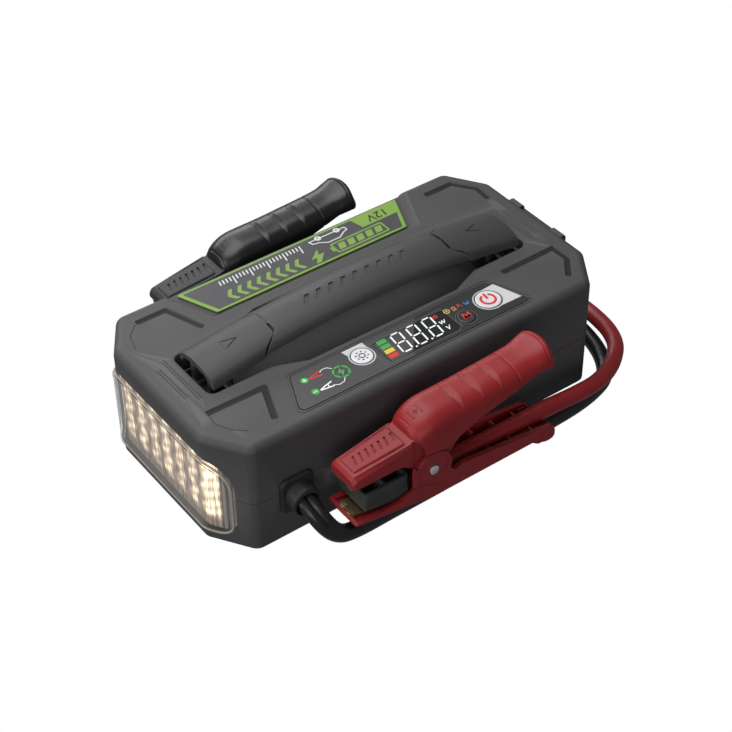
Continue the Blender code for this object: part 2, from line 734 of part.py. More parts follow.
def build_dock(side, sign):
    """Bracket that the clamp bites: a hollow-topped block on the case wall."""
    outline = [(-66.0, HALF_Y + GAP), (-62.2, 67.5), (-61.3, 91.0), (-35.0, 91.0), (-35.0, HALF_Y + GAP)]
    dock = slab(f"dock_{side}", [(x, sign * y) for x, y in outline], "Z", 28.3, 37.2, CASE_GREY)
    for k, (low, high) in enumerate([(-59.8, -49.2), (-47.4, -36.8)]):
        y0, y1 = sorted((sign * 73.0, sign * 89.2))
        cut(dock, box(f"pocket_{side}_{k}", (low, y0, 30.2), (high, y1, 45)))
    # Keel that fills the lower jaw, following the slope of its floor
    y0, y1 = sorted((sign * 74.2, sign * 90.7))
    keel = slab(f"keel_{side}", [(-61.0, 26.6), (-35.4, 22.8), (-35.4, 29.4), (-61.0, 29.4)], "Y", y0, y1)
    join(dock, keel)


# ---------------------------------------------------------------- clamps

def arm_bottom(u):
    """Underside of the lower jaw and arm."""
    return -19.1 + max(0.0, 2.0 - u) * (7.3 / 49.0)


ARM_OUTLINE = (
    [(-47.0, arm_bottom(-47)), (-47.5, -10.0), (-46.0, -8.3), (-12.4, -7.7)]
    + arc((0, 0), CHEEK_RADIUS, 205, -25, 14)
    + [(14.0, -7.5), (18.0, -5.6), (74.5, -12.6), (78.0, -15.0), (78.2, -20.2), (74.0, -22.2),
       (68.0, -21.9), (64.0, -19.1), (2.0, -19.1)]
)

JAW_OUTLINE = [
    (-46.6, 10.6), (-20.0, 10.6), (-12.5, 6.6), *arc((0, 0), 9.0, 180, 360, 10), (18.0, 10.0),
    (30.0, 21.8), (50.0, 27.2), (62.0, 30.8), (62.0, 34.9), (50.0, 32.9), (20.0, 30.0),
    (2.0, 29.4), (-5.5, 25.6), (-9.0, 22.8), (-46.6, 17.2),
]

GRIP_OUTLINE = [
    (-10.3, 23.7), (-10.3, 26.0), (-5.0, 30.4), (2.6, 33.0), (22.0, 33.4), (38.0, 34.6),
    (50.0, 35.9), (58.0, 37.0), (66.0, 38.9), (71.5, 40.3), (74.5, 39.6), (77.6, 33.0), (75.0, 28.9), (64.4, 28.4), (42.0, 22.6),
    (27.0, 19.4), (14.0, 14.2), (7.0, 11.6), (5.8, 20.6), (1.0, 24.8),
]


def grip_top(u):
    """Height of the grip's crest."""
    crest = [(-14, 24.0), (-10.3, 26.0), (-5.0, 30.4), (2.6, 33.0), (22.0, 33.4), (38.0, 34.6),
             (50.0, 35.9), (58.0, 37.0), (66.0, 38.9), (73.0, 40.3)]
    for (u0, w0), (u1, w1) in zip(crest, crest[1:]):
        if u <= u1:
            return w0 + (w1 - w0) * (u - u0) / (u1 - u0)
    return crest[-1][1]


def build_clamp_shapes():
    """Meshes of one clamp, about its pin, which both clamps share."""
    arm = slab("arm", ARM_OUTLINE, "Y", -ARM_HALF_WIDTH, ARM_HALF_WIDTH)
    floor = [(-45.3, arm_bottom(-45.3) + 1.5), (2.0, -17.6), (90, -17.6), (90, 20), (-45.3, 20)]
    cut(arm, slab("arm_channel", floor, "Y", -ARM_INSIDE, ARM_INSIDE))
    for k, u in enumerate(RIB_PLACES):
        top = -5.6 - (u - 18.0) * 0.124 - 1.6
        for sign in (-1, 1):
            low, high = sorted((sign * 5.6, sign * (ARM_INSIDE + 0.6)))
            join(arm, box(f"rib_{k}_{sign}", (u - 0.6, low, -18.2), (u + 0.6, high, top)))
    cut(arm, rod("arm_eye", (0, -20, 0), (0, 20, 0), PIN_RADIUS + GAP))

    jaw = slab("jaw", JAW_OUTLINE, "Y", -JAW_HALF_WIDTH, JAW_HALF_WIDTH)
    ceiling = [(-44.5, -20), (70, -20), (70, 35.4), (50.0, 30.6), (20.0, 27.8), (3.0, 27.2), (-4.5, 23.4),
               (-8.0, 20.6), (-44.5, 15.2)]
    cut(jaw, slab("jaw_channel", ceiling, "Y", -JAW_INSIDE, JAW_INSIDE))
    cut(jaw, rod("jaw_eye", (0, -20, 0), (0, 20, 0), PIN_RADIUS + GAP))

    grip = slab("grip", GRIP_OUTLINE, "Y", -GRIP_HALF_WIDTH, GRIP_HALF_WIDTH)

    def weigh(a, b):
        crest = all(abs(p.z - grip_top(p.x)) < 0.6 for p in (a, b))
        return 1.0 if crest and abs(a.y - b.y) < 0.1 else 0.0

    bevel_weighted(grip, 6.5, 4, weigh)
    hollow = [(u, grip_top(u) - 2.5) for u in (-14.0, -5.0, 2.6, 22.0, 38.0, 50.0, 58.0, 66.0, 73.2)]
    hollow += [(73.2, 10.0), (30.0, -10.0), (-14.0, -10.0)]
    cut(grip, slab("grip_hollow", hollow, "Y", -GRIP_INSIDE, GRIP_INSIDE))

    strip = [(-44.9, arm_bottom(-44.9) + 1.9), (2.0, -17.2), (16.0, -17.2), (16.0, -15.6), (2.0, -15.8),
             (-44.9, arm_bottom(-44.9) + 3.2)]
    lower = slab("lower_contact", strip, "Y", -6.0, 6.0)
    barrel_end = LEAD_END_X - GAP - PIN_X
    join(lower, rod("barrel", (14.4, 0, -12.9), (barrel_end, 0, -12.9), 4.4))

    tooth = [(-44.1, 9.4), (-42.4, 9.4), (-42.0, 12.0), (-14.0, 11.0), (-13.0, 12.4), (-42.0, 13.7),
             (-44.1, 13.7)]
    upper = slab("upper_contact", tooth, "Y", -6.0, 6.0)

    pin = rod("pin", (0, -12.4, 0), (0, 12.4, 0), PIN_RADIUS)
    return {
        "lower_arm": bake(arm), "upper_jaw": bake(jaw), "grip": bake(grip),
        "lower_contact": bake(lower), "upper_contact": bake(upper), "pivot_pin": bake(pin),
        "spring": spring_mesh(),
    }


def spring_mesh():
    """Torsion spring round the pin, with one leg up into the grip and one down to the arm."""
    radius, turns, pitch = 4.9, 4, 2.2
    steps = 10
    points = [(15.0, -4.4, 20.0), (8.0, -4.4, 10.0)]
    for k in range(turns * steps + 1):
        angle = math.radians(20) - 2 * math.pi * k / steps
        across = -turns * pitch / 2 + pitch * k / steps
        points.append((radius * math.cos(angle), across, radius * math.sin(angle)))
    points += [(8.6, 4.4, -5.0), (11.0, 4.4, -11.0)]
    return tube("spring_wire", points, 0.8, 2)


def tube(name, points, radius, roundness):
    """Closed mesh of a round wire or lead along the points."""
    curve = bpy.data.curves.new(name, "CURVE")
    curve.dimensions = "3D"
    curve.bevel_depth = radius * MM
    curve.bevel_resolution = roundness
    curve.use_fill_caps = True
    line = curve.splines.new("POLY")
    line.points.add(len(points) - 1)
    for point, place in zip(line.points, points):
        point.co = (*(Vector(place) * MM), 1.0)
    item = bpy.data.objects.new(name, curve)
    PARTS.objects.link(item)
    return mesh_of_curve(item)


def build_clamp(colour, sign, shapes, finishes):
    place = (PIN_X, sign * CLAMP_Y, PIN_Z)
    empty = pivot(f"{colour}_clamp_pivot", place)
    for part, mesh in shapes.items():
        item = add(f"{colour}_clamp_{part}", mesh.copy(), finishes[part])
        item.location = Vector(place) * MM
        smooth(item)
        if part in ("upper_jaw", "grip", "upper_contact"):
            hang(empty, item)


# ---------------------------------------------------------------- port cover and leads

def build_port_cover():
    x, z = COVER_HINGE
    cover = slab("port_cover", rounded([(-27, 38), (27, 38), (27, 60.2), (-27, 60.2)], 3, 3), "X",
                 HALF_X + 0.4, HALF_X + 2.8, RUBBER)
    join(cover, box("cover_tongue", (HALF_X + 0.5, -12, 59), (HALF_X + 2.7, 12, 65.3)))
    join(cover, rod("cover_barrel", (x, -12, z), (x, 12, z), 1.5, sides=12))
    join(cover, slab("cover_lip", [(HALF_X + 2, 38.4), (HALF_X + 3.6, 39.2), (HALF_X + 2, 42)], "Y", -9, 9))
    bake(cover)
    set_origin(cover, (x, 0, z))


def smooth_route(points):
    """Points on a centripetal Catmull-Rom curve through the route, closer together at its start."""
    route = [Vector(p) for p in points]
    route = [2 * route[0] - route[1], *route, 2 * route[-1] - route[-2]]
    fine = []
    for k in range(1, len(route) - 2):
        p0, p1, p2, p3 = route[k - 1:k + 3]
        t0 = 0.0
        t1 = t0 + math.sqrt((p1 - p0).length)
        t2 = t1 + math.sqrt((p2 - p1).length)
        t3 = t2 + math.sqrt((p3 - p2).length)
        for step in range(16):
            t = t1 + (t2 - t1) * step / 16
            a1 = p0.lerp(p1, (t - t0) / (t1 - t0))
            a2 = p1.lerp(p2, (t - t1) / (t2 - t1))
            a3 = p2.lerp(p3, (t - t2) / (t3 - t2))
            b1 = a1.lerp(a2, (t - t0) / (t2 - t0))
            b2 = a2.lerp(a3, (t - t1) / (t3 - t1))
            fine.append(b1.lerp(b2, (t - t1) / (t2 - t1)))
    fine.append(route[-2])
    total = sum((b - a).length for a, b in zip(fine, fine[1:]))
    stations = [LEAD_BEND_SPACING * k for k in range(1, round(LEAD_BEND_LENGTH / LEAD_BEND_SPACING))]
    count = round((total - LEAD_BEND_LENGTH) / LEAD_SPACING)
    stations += [LEAD_BEND_LENGTH + (total - LEAD_BEND_LENGTH) * k / count for k in range(count)]
    out, walked, k = [fine[0]], 0.0, 0
    for target in stations:
        while walked + (fine[k + 1] - fine[k]).length < target:
            walked += (fine[k + 1] - fine[k]).length
            k += 1
        out.append(fine[k].lerp(fine[k + 1], (target - walked) / (fine[k + 1] - fine[k]).length))
    return out + [fine[-1]]


def build_leads():
    for name, route, finish in (("black_lead", BLACK_ROUTE, LEAD_BLACK), ("red_lead", RED_ROUTE, LEAD_RED)):
        mesh = tube(name, smooth_route(route), LEAD_RADIUS, 2)
        smooth(add(name, mesh, finish), 60)


# ---------------------------------------------------------------- assembly

upper_housing = build_upper_housing()
lower_housing = build_lower_housing()
build_lamp(upper_housing, lower_housing)
build_feet_and_screws()
build_battery()
build_boards()
build_panel()
build_label()
build_handle()
for side, sign in (("front", -1), ("back", 1)):
    build_gland(side, sign, upper_housing, lower_housing)
    build_dock(side, sign)
clamp_shapes = build_clamp_shapes()
for helper in list(PARTS.objects):
    if helper.name in ("arm", "jaw", "grip", "lower_contact", "upper_contact", "pin"):
        bpy.data.objects.remove(helper, do_unlink=True)
RED_FINISHES = dict.fromkeys(clamp_shapes, STEEL) | {
    "lower_arm": CLAMP_RED, "upper_jaw": CLAMP_RED, "grip": CLAMP_RED,
    "lower_contact": COPPER, "upper_contact": COPPER,
}
BLACK_FINISHES = RED_FINISHES | {"lower_arm": JAW_GREY, "upper_jaw": JAW_GREY, "grip": GRIP_BLACK}
build_clamp("red", -1, clamp_shapes, RED_FINISHES)
build_clamp("black", 1, clamp_shapes, BLACK_FINISHES)
build_port_cover()
build_leads()
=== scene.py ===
"""Looks of the jump starter pack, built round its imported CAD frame."""

import math

import bmesh
import bpy
from mathutils import Matrix, Vector


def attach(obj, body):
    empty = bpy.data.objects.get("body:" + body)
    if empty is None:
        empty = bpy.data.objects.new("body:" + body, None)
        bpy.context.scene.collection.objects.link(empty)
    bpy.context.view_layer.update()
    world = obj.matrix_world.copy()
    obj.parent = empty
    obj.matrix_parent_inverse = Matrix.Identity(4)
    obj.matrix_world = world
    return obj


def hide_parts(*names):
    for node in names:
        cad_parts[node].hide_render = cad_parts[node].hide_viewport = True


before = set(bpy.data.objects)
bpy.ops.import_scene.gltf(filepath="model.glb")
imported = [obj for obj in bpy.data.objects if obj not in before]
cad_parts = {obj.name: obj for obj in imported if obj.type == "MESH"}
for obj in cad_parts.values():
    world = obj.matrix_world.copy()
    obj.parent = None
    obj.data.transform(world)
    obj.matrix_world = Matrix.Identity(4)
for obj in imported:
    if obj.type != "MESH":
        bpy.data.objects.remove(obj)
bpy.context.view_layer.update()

MM = 0.001
SCENE = bpy.context.scene

# Sizes shared with the CAD, in millimetres
HALF_X, HALF_Y = 120.0, 62.25
CORNER_X, CORNER_Y = 15.0, 23.0
FOOT_HEIGHT, PARTING_Z, CASE_TOP = 3.5, 34.5, 70.5
WALL, CEILING, FLOOR = 2.6, 67.5, 7.0
STRAP_CREST, STRAP_FALL, STRAP_END, STRAP_CROWN = 85.8, 8.3, 96.0, 4.0
CHEVRON_TIP, CHEVRON_BACK = 55.0, 64.0
ANCHOR_X, ANCHOR_Z = 86.0, 65.5
NOTCH_FLOOR = 66.5
PANEL_TOP = 70.6
DISPLAY = (-14.8, 28.3, -50.9, -34.7)
BUTTONS = {"power": (53.3, -41.6, 6.8), "light": (-24.1, -38.6, 5.6), "mode": (35.8, -45.7, 4.8)}
BUTTON_TOP = 71.1
GLAND_X, GLAND_Z, GLAND_HOLE = -82.0, 31.5, 8.4
SCREW_X, SCREW_Y, FOOT_X, FOOT_Y = 84.0, 50.0, 96.5, 53.5
LED_COLUMNS, LED_ROWS = 7, 8
CLAMP_Y, PIN_X, PIN_Z = 83.0, -22.4, 35.5
LEAD_RADIUS = 4.5


# ---------------------------------------------------------------- camera

def build_camera():
    data = bpy.data.cameras.new("camera")
    data.lens = 89.96
    data.sensor_width = 36.0
    camera = bpy.data.objects.new("camera", data)
    SCENE.collection.objects.link(camera)
    camera.location = (-0.42251, -0.59432, 0.65404)
    camera.rotation_euler = [math.radians(v) for v in (49.2138, 0.6522, -36.3554)]
    SCENE.camera = camera


build_camera()


# ---------------------------------------------------------------- node wiring

class Val:
    """A number flowing through a node tree, with the usual arithmetic."""

    def __init__(self, tree, out):
        self.tree, self.out = tree, out

    def math(self, operation, *others):
        node = self.tree.nodes.new("ShaderNodeMath")
        node.operation = operation
        self.tree.links.new(self.out, node.inputs[0])
        for k, other in enumerate(others):
            if isinstance(other, Val):
                self.tree.links.new(other.out, node.inputs[k + 1])
            else:
                node.inputs[k + 1].default_value = other
        return Val(self.tree, node.outputs[0])

    def __add__(self, other):
        return self.math("ADD", other)

    def __sub__(self, other):
        return self.math("SUBTRACT", other)

    def __mul__(self, other):
        return self.math("MULTIPLY", other)

    def fit(self, low, high, to_low=0.0, to_high=1.0, kind="LINEAR"):
        node = self.tree.nodes.new("ShaderNodeMapRange")
        node.interpolation_type = kind
        self.tree.links.new(self.out, node.inputs["Value"])
        for name, value in (("From Min", low), ("From Max", high), ("To Min", to_low), ("To Max", to_high)):
            node.inputs[name].default_value = value
        return Val(self.tree, node.outputs["Result"])


class Finish:
    """A Principled material under construction."""

    def __init__(self, name, colour, roughness, metallic=0.0, specular=0.5, coat=0.0, coat_roughness=0.1):
        self.material = bpy.data.materials.new(name)
        self.material.use_nodes = True
        self.tree = self.material.node_tree
        self.shader = self.tree.nodes["Principled BSDF"]
        for socket, value in (("Base Color", (*colour, 1.0)), ("Roughness", roughness), ("Metallic", metallic),
                              ("Specular IOR Level", specular), ("Coat Weight", coat),
                              ("Coat Roughness", coat_roughness)):
            self.set(socket, value)
        self.material.diffuse_color = (*colour, 1.0)
        self.coords = self.tree.nodes.new("ShaderNodeTexCoord").outputs["Object"]

    def set(self, name, value):
        self.shader.inputs[name].default_value = value

    def drive(self, name, value):
        self.tree.links.new(value.out if isinstance(value, Val) else value, self.shader.inputs[name])

    def stretched(self, x, y, z):
        node = self.tree.nodes.new("ShaderNodeVectorMath")
        node.operation = "MULTIPLY"
        self.tree.links.new(self.coords, node.inputs[0])
        node.inputs[1].default_value = (x, y, z)
        return node.outputs[0]

    def texture(self, kind, output, coords, **sockets):
        node = self.tree.nodes.new(kind)
        self.tree.links.new(coords or self.coords, node.inputs["Vector"])
        for name, value in sockets.items():
            node.inputs[name].default_value = value
        return node, Val(self.tree, node.outputs[output])

    def noise(self, scale, detail=2.0, rough=0.5, coords=None, twist=0.0):
        return self.texture("ShaderNodeTexNoise", "Fac", coords, Scale=scale, Detail=detail, Roughness=rough,
                            Distortion=twist)[1]

    def cells(self, scale, feature="F1"):
        node, distance = self.texture("ShaderNodeTexVoronoi", "Distance", None, Scale=scale)
        node.feature = feature
        return distance

    def axis(self, k):
        node = self.tree.nodes.new("ShaderNodeSeparateXYZ")
        self.tree.links.new(self.coords, node.inputs[0])
        return Val(self.tree, node.outputs[k])

    def edges(self):
        """1 on convex edges, 0 elsewhere."""
        node = self.tree.nodes.new("ShaderNodeNewGeometry")
        return Val(self.tree, node.outputs["Pointiness"]).fit(0.53, 0.62)

    def mix(self, factor, a, b):
        """Colour between a and b, each a colour or a socket."""
        node = self.tree.nodes.new("ShaderNodeMix")
        node.data_type = "RGBA"
        self.tree.links.new(factor.out, node.inputs[0])
        for socket, value in ((node.inputs[6], a), (node.inputs[7], b)):
            if isinstance(value, tuple):
                socket.default_value = (*value, 1.0)
            else:
                self.tree.links.new(value, socket)
        return node.outputs[2]

    def bump(self, height, strength, distance):
        node = self.tree.nodes.new("ShaderNodeBump")
        node.inputs["Strength"].default_value = strength
        node.inputs["Distance"].default_value = distance
        self.tree.links.new(height.out, node.inputs["Height"])
        self.tree.links.new(node.outputs[0], self.shader.inputs["Normal"])


def scaled(colour, factor):
    return tuple(min(1.0, c * factor) for c in colour)


def moulded(name, colour, roughness, grain=1700.0, relief=0.12, tone=0.08, specular=0.3, edge_wear_and_highlight=0.25):
    """Injection-moulded plastic: fine spark-eroded grain, faint clouding, and convex edges painted lighter, partly as
    edge wear and partly as a painted edge highlight.
    """
    made = Finish(name, colour, roughness, specular=specular, coat_roughness=0.15)
    clouds = made.noise(26.0, 4.0, 0.6).fit(0.3, 0.7)
    fine = made.noise(grain, 3.0, 0.65)
    base = made.mix(clouds, scaled(colour, 1 - tone), scaled(colour, 1 + tone))
    speck = fine.fit(0.35, 0.65) * 0.25
    base = made.mix(speck, base, scaled(colour, 1.25))
    # Convex edges painted lighter: part edge wear, part painted highlight
    if edge_wear_and_highlight:
        base = made.mix(made.edges() * edge_wear_and_highlight, base, tuple(c + (1 - c) * 0.14 for c in colour))
    made.drive("Base Color", base)
    made.drive("Roughness", fine.fit(0.3, 0.7, roughness - 0.06, roughness + 0.06))
    made.bump(fine, relief, 0.00012)
    return made.material


def metal(name, colour, roughness):
    """Drawn or turned metal, with fine scratches and a little tarnish."""
    made = Finish(name, colour, roughness, metallic=1.0)
    lines = made.noise(1.0, 3.0, 0.6, made.stretched(90.0, 1800.0, 900.0))
    tarnish = made.noise(160.0, 4.0, 0.6).fit(0.35, 0.7)
    made.drive("Base Color", made.mix(tarnish, scaled(colour, 1.05), scaled(colour, 0.78)))
    made.drive("Roughness", lines.fit(0.3, 0.7, roughness - 0.07, roughness + 0.1))
    made.bump(lines, 0.1, 0.0001)
    return made.material


def rubber(name, colour, roughness, specular=0.35):
    """Soft rubber or silicone: a dull sheen over a very fine pitted skin."""
    made = Finish(name, colour, roughness, specular=specular, coat_roughness=0.3)
    pits = made.cells(1300.0)
    dust = made.noise(70.0, 5.0, 0.65).fit(0.45, 0.75)
    made.drive("Base Color", made.mix(dust * 0.3, colour, tuple(c * 1.15 + 0.006 for c in colour)))
    made.drive("Roughness", made.noise(220.0, 3.0).fit(0.3, 0.7, roughness - 0.08, roughness + 0.08))
    made.bump(pits, 0.06, 0.0001)
    return made.material


def print_ink(name, colour, roughness=0.45, glow=0.0):
    """Screen-printed ink, slightly uneven where the mesh laid it down."""
    made = Finish(name, colour, roughness, specular=0.4)
    weave = made.cells(2600.0)
    made.drive("Base Color", made.mix(weave.fit(0.0, 0.7) * 0.5, colour, scaled(colour, 0.88)))
    made.drive("Roughness", made.noise(300.0).fit(0.3, 0.7, roughness - 0.08, roughness + 0.08))
    if glow:
        made.set("Emission Color", (*colour, 1.0))
        made.set("Emission Strength", glow)
    return made.material


CASE = moulded("case_plastic", (0.058, 0.056, 0.058), 0.56, relief=0.16, specular=0.32)
CASE_LOW = moulded("case_plastic_low", (0.056, 0.054, 0.056), 0.57, relief=0.16, specular=0.3)
# Near-black finish for sheets in the corner groove floors: painted shade
PAINTED_GROOVE_SHADE = moulded("painted_groove_shade", (0.017, 0.017, 0.018), 0.6, relief=0.12, specular=0.2, edge_wear_and_highlight=0.0)
STRAP = moulded("strap_plastic", (0.045, 0.044, 0.046), 0.47, grain=1900.0, relief=0.12, specular=0.3)
DOCK = moulded("dock_plastic", (0.036, 0.038, 0.036), 0.5, relief=0.14, specular=0.35)
RED = moulded("red_plastic", (0.235, 0.013, 0.0155), 0.46, grain=1500.0, relief=0.10, specular=0.36, edge_wear_and_highlight=0.12)
RED_GRIP = moulded("red_grip", (0.245, 0.0135, 0.016), 0.44, grain=1400.0, relief=0.10, specular=0.32, edge_wear_and_highlight=0.12)
# Darker red for the red clamp's emblem: painted shade in place of the shadow in its lines
RED_MARK_SHADE = moulded("red_mark_painted_shade", (0.10, 0.007, 0.008), 0.5, grain=1500.0, relief=0.08, specular=0.3, edge_wear_and_highlight=0.0)
BLACK_GRIP = moulded("black_grip", (0.0085, 0.0085, 0.009), 0.33, grain=1600.0, relief=0.04, tone=0.04, specular=0.45,
                     edge_wear_and_highlight=0.04)
JAW_GREY = moulded("jaw_plastic", (0.033, 0.034, 0.033), 0.52, grain=1600.0, relief=0.14, specular=0.32, edge_wear_and_highlight=0.12)
RUBBER = rubber("rubber", (0.022, 0.022, 0.023), 0.52)
LEAD_BLACK = rubber("lead_black", (0.011, 0.011, 0.012), 0.3, specular=0.55)
LEAD_RED = rubber("lead_red", (0.27, 0.013, 0.015), 0.4, specular=0.42)
STEEL = metal("steel", (0.60, 0.60, 0.61), 0.32)
PIN = metal("pin_steel", (0.92, 0.89, 0.88), 0.5)
BRASS = metal("brass", (0.62, 0.50, 0.30), 0.36)
COPPER = metal("copper", (0.72, 0.42, 0.22), 0.34)
OVERLAY = moulded("overlay_film", (0.055, 0.056, 0.055), 0.36, grain=2300.0, relief=0.05, specular=0.4, edge_wear_and_highlight=0.0)
OVERLAY_DARK = moulded("overlay_dark", (0.026, 0.028, 0.026), 0.34, grain=2300.0, relief=0.05, specular=0.4, edge_wear_and_highlight=0.0)
WHITE_INK = print_ink("ink_white", (0.66, 0.66, 0.67))
LIGHT_INK = print_ink("ink_light", (0.60, 0.60, 0.61))
DARK_INK = print_ink("ink_dark", (0.022, 0.023, 0.024))
RED_INK = print_ink("ink_red", (0.62, 0.035, 0.03), glow=0.06)
GREEN_INK = print_ink("ink_green", (0.05, 0.36, 0.07), glow=0.05)
LIME_INK = print_ink("ink_lime", (0.19, 0.335, 0.05))
LABEL_GREY = print_ink("label_grey", (0.052, 0.050, 0.056))
YELLOW_INK = print_ink("ink_yellow", (0.76, 0.50, 0.05), glow=0.06)
ORANGE_INK = print_ink("ink_orange", (0.60, 0.24, 0.03), glow=0.04)
BLUE_INK = print_ink("ink_blue", (0.03, 0.20, 0.55), glow=0.04)
LIT_WHITE = print_ink("lit_white", (0.80, 0.82, 0.80), glow=0.25)
BUTTON = moulded("button_cap", (0.66, 0.66, 0.67), 0.38, grain=1900.0, relief=0.04, specular=0.4, edge_wear_and_highlight=0.0)
BUTTON_DARK = moulded("button_dark", (0.022, 0.026, 0.024), 0.34, grain=1900.0, relief=0.04, specular=0.45, edge_wear_and_highlight=0.0)


# ---------------------------------------------------------------- mesh tools

def add(name, mesh):
    mesh.name = name
    item = bpy.data.objects.new(name, mesh)
    SCENE.collection.objects.link(item)
    return item


def mesh_from(bm, fix_normals=True):
    mesh = bpy.data.meshes.new("mesh")
    if fix_normals:
        bmesh.ops.recalc_face_normals(bm, faces=bm.faces)
    bm.to_mesh(mesh)
    bm.free()
    return mesh


def evaluated_mesh(item):
    bpy.context.view_layer.update()
    return bpy.data.meshes.new_from_object(item.evaluated_get(bpy.context.evaluated_depsgraph_get()))


def bake(item):
    """Turns the item's modifiers into its mesh."""
    mesh, old = evaluated_mesh(item), item.data
    item.modifiers.clear()
    item.data = mesh
    if not old.users:
        bpy.data.meshes.remove(old)
    return item


def cut(item, *others):
    """Takes the others out of the item."""
    for other in others:
        step = item.modifiers.new("step", "BOOLEAN")
        step.operation, step.solver, step.object = "DIFFERENCE", "EXACT", other
    bake(item)
    for other in others:
        bpy.data.objects.remove(other, do_unlink=True)
    return item


def merge(name, *items):
    """One object holding several closed solids that touch or overlap."""
    bm = bmesh.new()
    for item in items:
        bm.from_mesh(item.data)
        bpy.data.objects.remove(item, do_unlink=True)
    return add(name, mesh_from(bm, False))


def bevel(item, width, segments=2, angle=35.0):
    step = item.modifiers.new("bevel", "BEVEL")
    step.width, step.segments = width * MM, segments
    step.limit_method, step.angle_limit = "ANGLE", math.radians(angle)
    step.miter_outer = "MITER_ARC"
    return bake(item)


def bevel_where(item, width, segments, weigh):
    """Bevels the edges for which weigh(a, b), given their ends in millimetres, is above 0."""
    bm = bmesh.new()
    bm.from_mesh(item.data)
    layer = bm.edges.layers.float.new("bevel_weight_edge")
    for edge in bm.edges:
        edge[layer] = weigh(*[vert.co / MM for vert in edge.verts])
    bm.to_mesh(item.data)
    bm.free()
    step = item.modifiers.new("bevel", "BEVEL")
    step.width, step.segments, step.limit_method = width * MM, segments, "WEIGHT"
    return bake(item)


def piece(item, finish, body, slot=None, replaces=(), angle=35.0, flat=True):
    """Finishes a piece: shading, material, the body it rides on and the CAD nodes it stands for."""
    mesh = item.data
    mesh.materials.clear()
    mesh.materials.append(finish)
    mesh.shade_smooth()
    mesh.set_sharp_from_angle(angle=math.radians(angle))
    if flat:
        step = item.modifiers.new("normals", "WEIGHTED_NORMAL")
        step.keep_sharp = True
    if replaces:
        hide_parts(*replaces)
    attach(item, body)
    return item


def box(name, low, high):
    bm = bmesh.new()
    bmesh.ops.create_cube(bm, size=1.0)
    bmesh.ops.scale(bm, verts=bm.verts, vec=[(high[k] - low[k]) * MM for k in range(3)])
    bmesh.ops.translate(bm, verts=bm.verts, vec=[(high[k] + low[k]) / 2 * MM for k in range(3)])
    return add(name, mesh_from(bm))


def rod(name, start, end, radius, sides=48):
    a, b = Vector(start) * MM, Vector(end) * MM
    bm = bmesh.new()
    bmesh.ops.create_cone(bm, cap_ends=True, segments=sides, radius1=radius * MM, radius2=radius * MM,
                          depth=(b - a).length)
    turn = (b - a).to_track_quat("Z", "Y").to_matrix().to_4x4()
    bmesh.ops.transform(bm, matrix=Matrix.Translation((a + b) / 2) @ turn, verts=bm.verts)
    return add(name, mesh_from(bm))


def mesh_of_curve(item):
    mesh = evaluated_mesh(item)
    mesh.transform(item.matrix_world)
    bpy.data.objects.remove(item, do_unlink=True)
    bm = bmesh.new()
    bm.from_mesh(mesh)
    bmesh.ops.remove_doubles(bm, verts=bm.verts, dist=0.00001)
    bmesh.ops.dissolve_limit(bm, angle_limit=math.radians(0.2), verts=bm.verts, edges=bm.edges)
    bpy.data.meshes.remove(mesh)
    return mesh_from(bm)


STAND = {
    "Z": Matrix.Identity(4),
    "Y": Matrix(((1, 0, 0, 0), (0, 0, -1, 0), (0, 1, 0, 0), (0, 0, 0, 1))),
    "X": Matrix(((0, 0, 1, 0), (1, 0, 0, 0), (0, 1, 0, 0), (0, 0, 0, 1))),
}


def slab(name, outline, axis, low, high):
    """Flat outline, given in the two other axes, extruded along axis from low to high."""
    curve = bpy.data.curves.new(name, "CURVE")
    curve.dimensions = "2D"
    curve.fill_mode = "BOTH"
    curve.extrude = (high - low) / 2 * MM
    line = curve.splines.new("POLY")
    line.points.add(len(outline) - 1)
    for point, (a, b) in zip(line.points, outline):
        point.co = (a * MM, b * MM, 0.0, 1.0)
    line.use_cyclic_u = True
    item = bpy.data.objects.new(name, curve)
    SCENE.collection.objects.link(item)
    middle = (low + high) / 2 * MM
    shift = {"Z": (0, 0, middle), "Y": (0, middle, 0), "X": (middle, 0, 0)}[axis]
    item.matrix_world = Matrix.Translation(shift) @ STAND[axis]
    return add(name, mesh_of_curve(item))


def ring_faces(bm, a, b):
    """Faces between two closed rings of points."""
    for k in range(len(a)):
        after = (k + 1) % len(a)
        bm.faces.new((a[k], a[after], b[after], b[k]))


def loft(name, rings):
    """Closed skin through rings of the same number of points, in millimetres."""
    bm = bmesh.new()
    rows = [[bm.verts.new(Vector(p) * MM) for p in ring] for ring in rings]
    for a, b in zip(rows, rows[1:]):
        ring_faces(bm, a, b)
    bm.faces.new(rows[0][::-1])
    bm.faces.new(rows[-1])
    return add(name, mesh_from(bm))


def oblong(a0, b0, a1, b1):
    return [(a0, b0), (a1, b0), (a1, b1), (a0, b1)]


def circle(radius, sides):
    turns = [2 * math.pi * k / sides for k in range(sides)]
    return [(radius * math.cos(a), radius * math.sin(a)) for a in turns]


def reach(sign, near, far):
    """Lowest and highest of the stretch from near to far on one side."""
    return sorted((sign * near, sign * far))


def grown(outline, amount):
    """The outline with every side moved out by amount."""
    count = len(outline)
    area = sum(outline[k - 1][0] * outline[k][1] - outline[k][0] * outline[k - 1][1] for k in range(count))
    turn = 1 if area > 0 else -1
    out = []
    for k, corner in enumerate(outline):
        here = Vector(corner)
        before = (here - Vector(outline[k - 1])).normalized()
        after = (Vector(outline[(k + 1) % count]) - here).normalized()
        n1 = Vector((before.y, -before.x)) * turn
        n2 = Vector((after.y, -after.x)) * turn
        out.append(tuple(here + (n1 + n2) * (amount / (1 + n1.dot(n2)))))
    return out


def funnel(name, outline, levels):
    """Cutter with the outline's plan, through levels of (z, growth)."""
    return loft(name, [[(x, y, z) for x, y in grown(outline, g)] for z, g in levels])


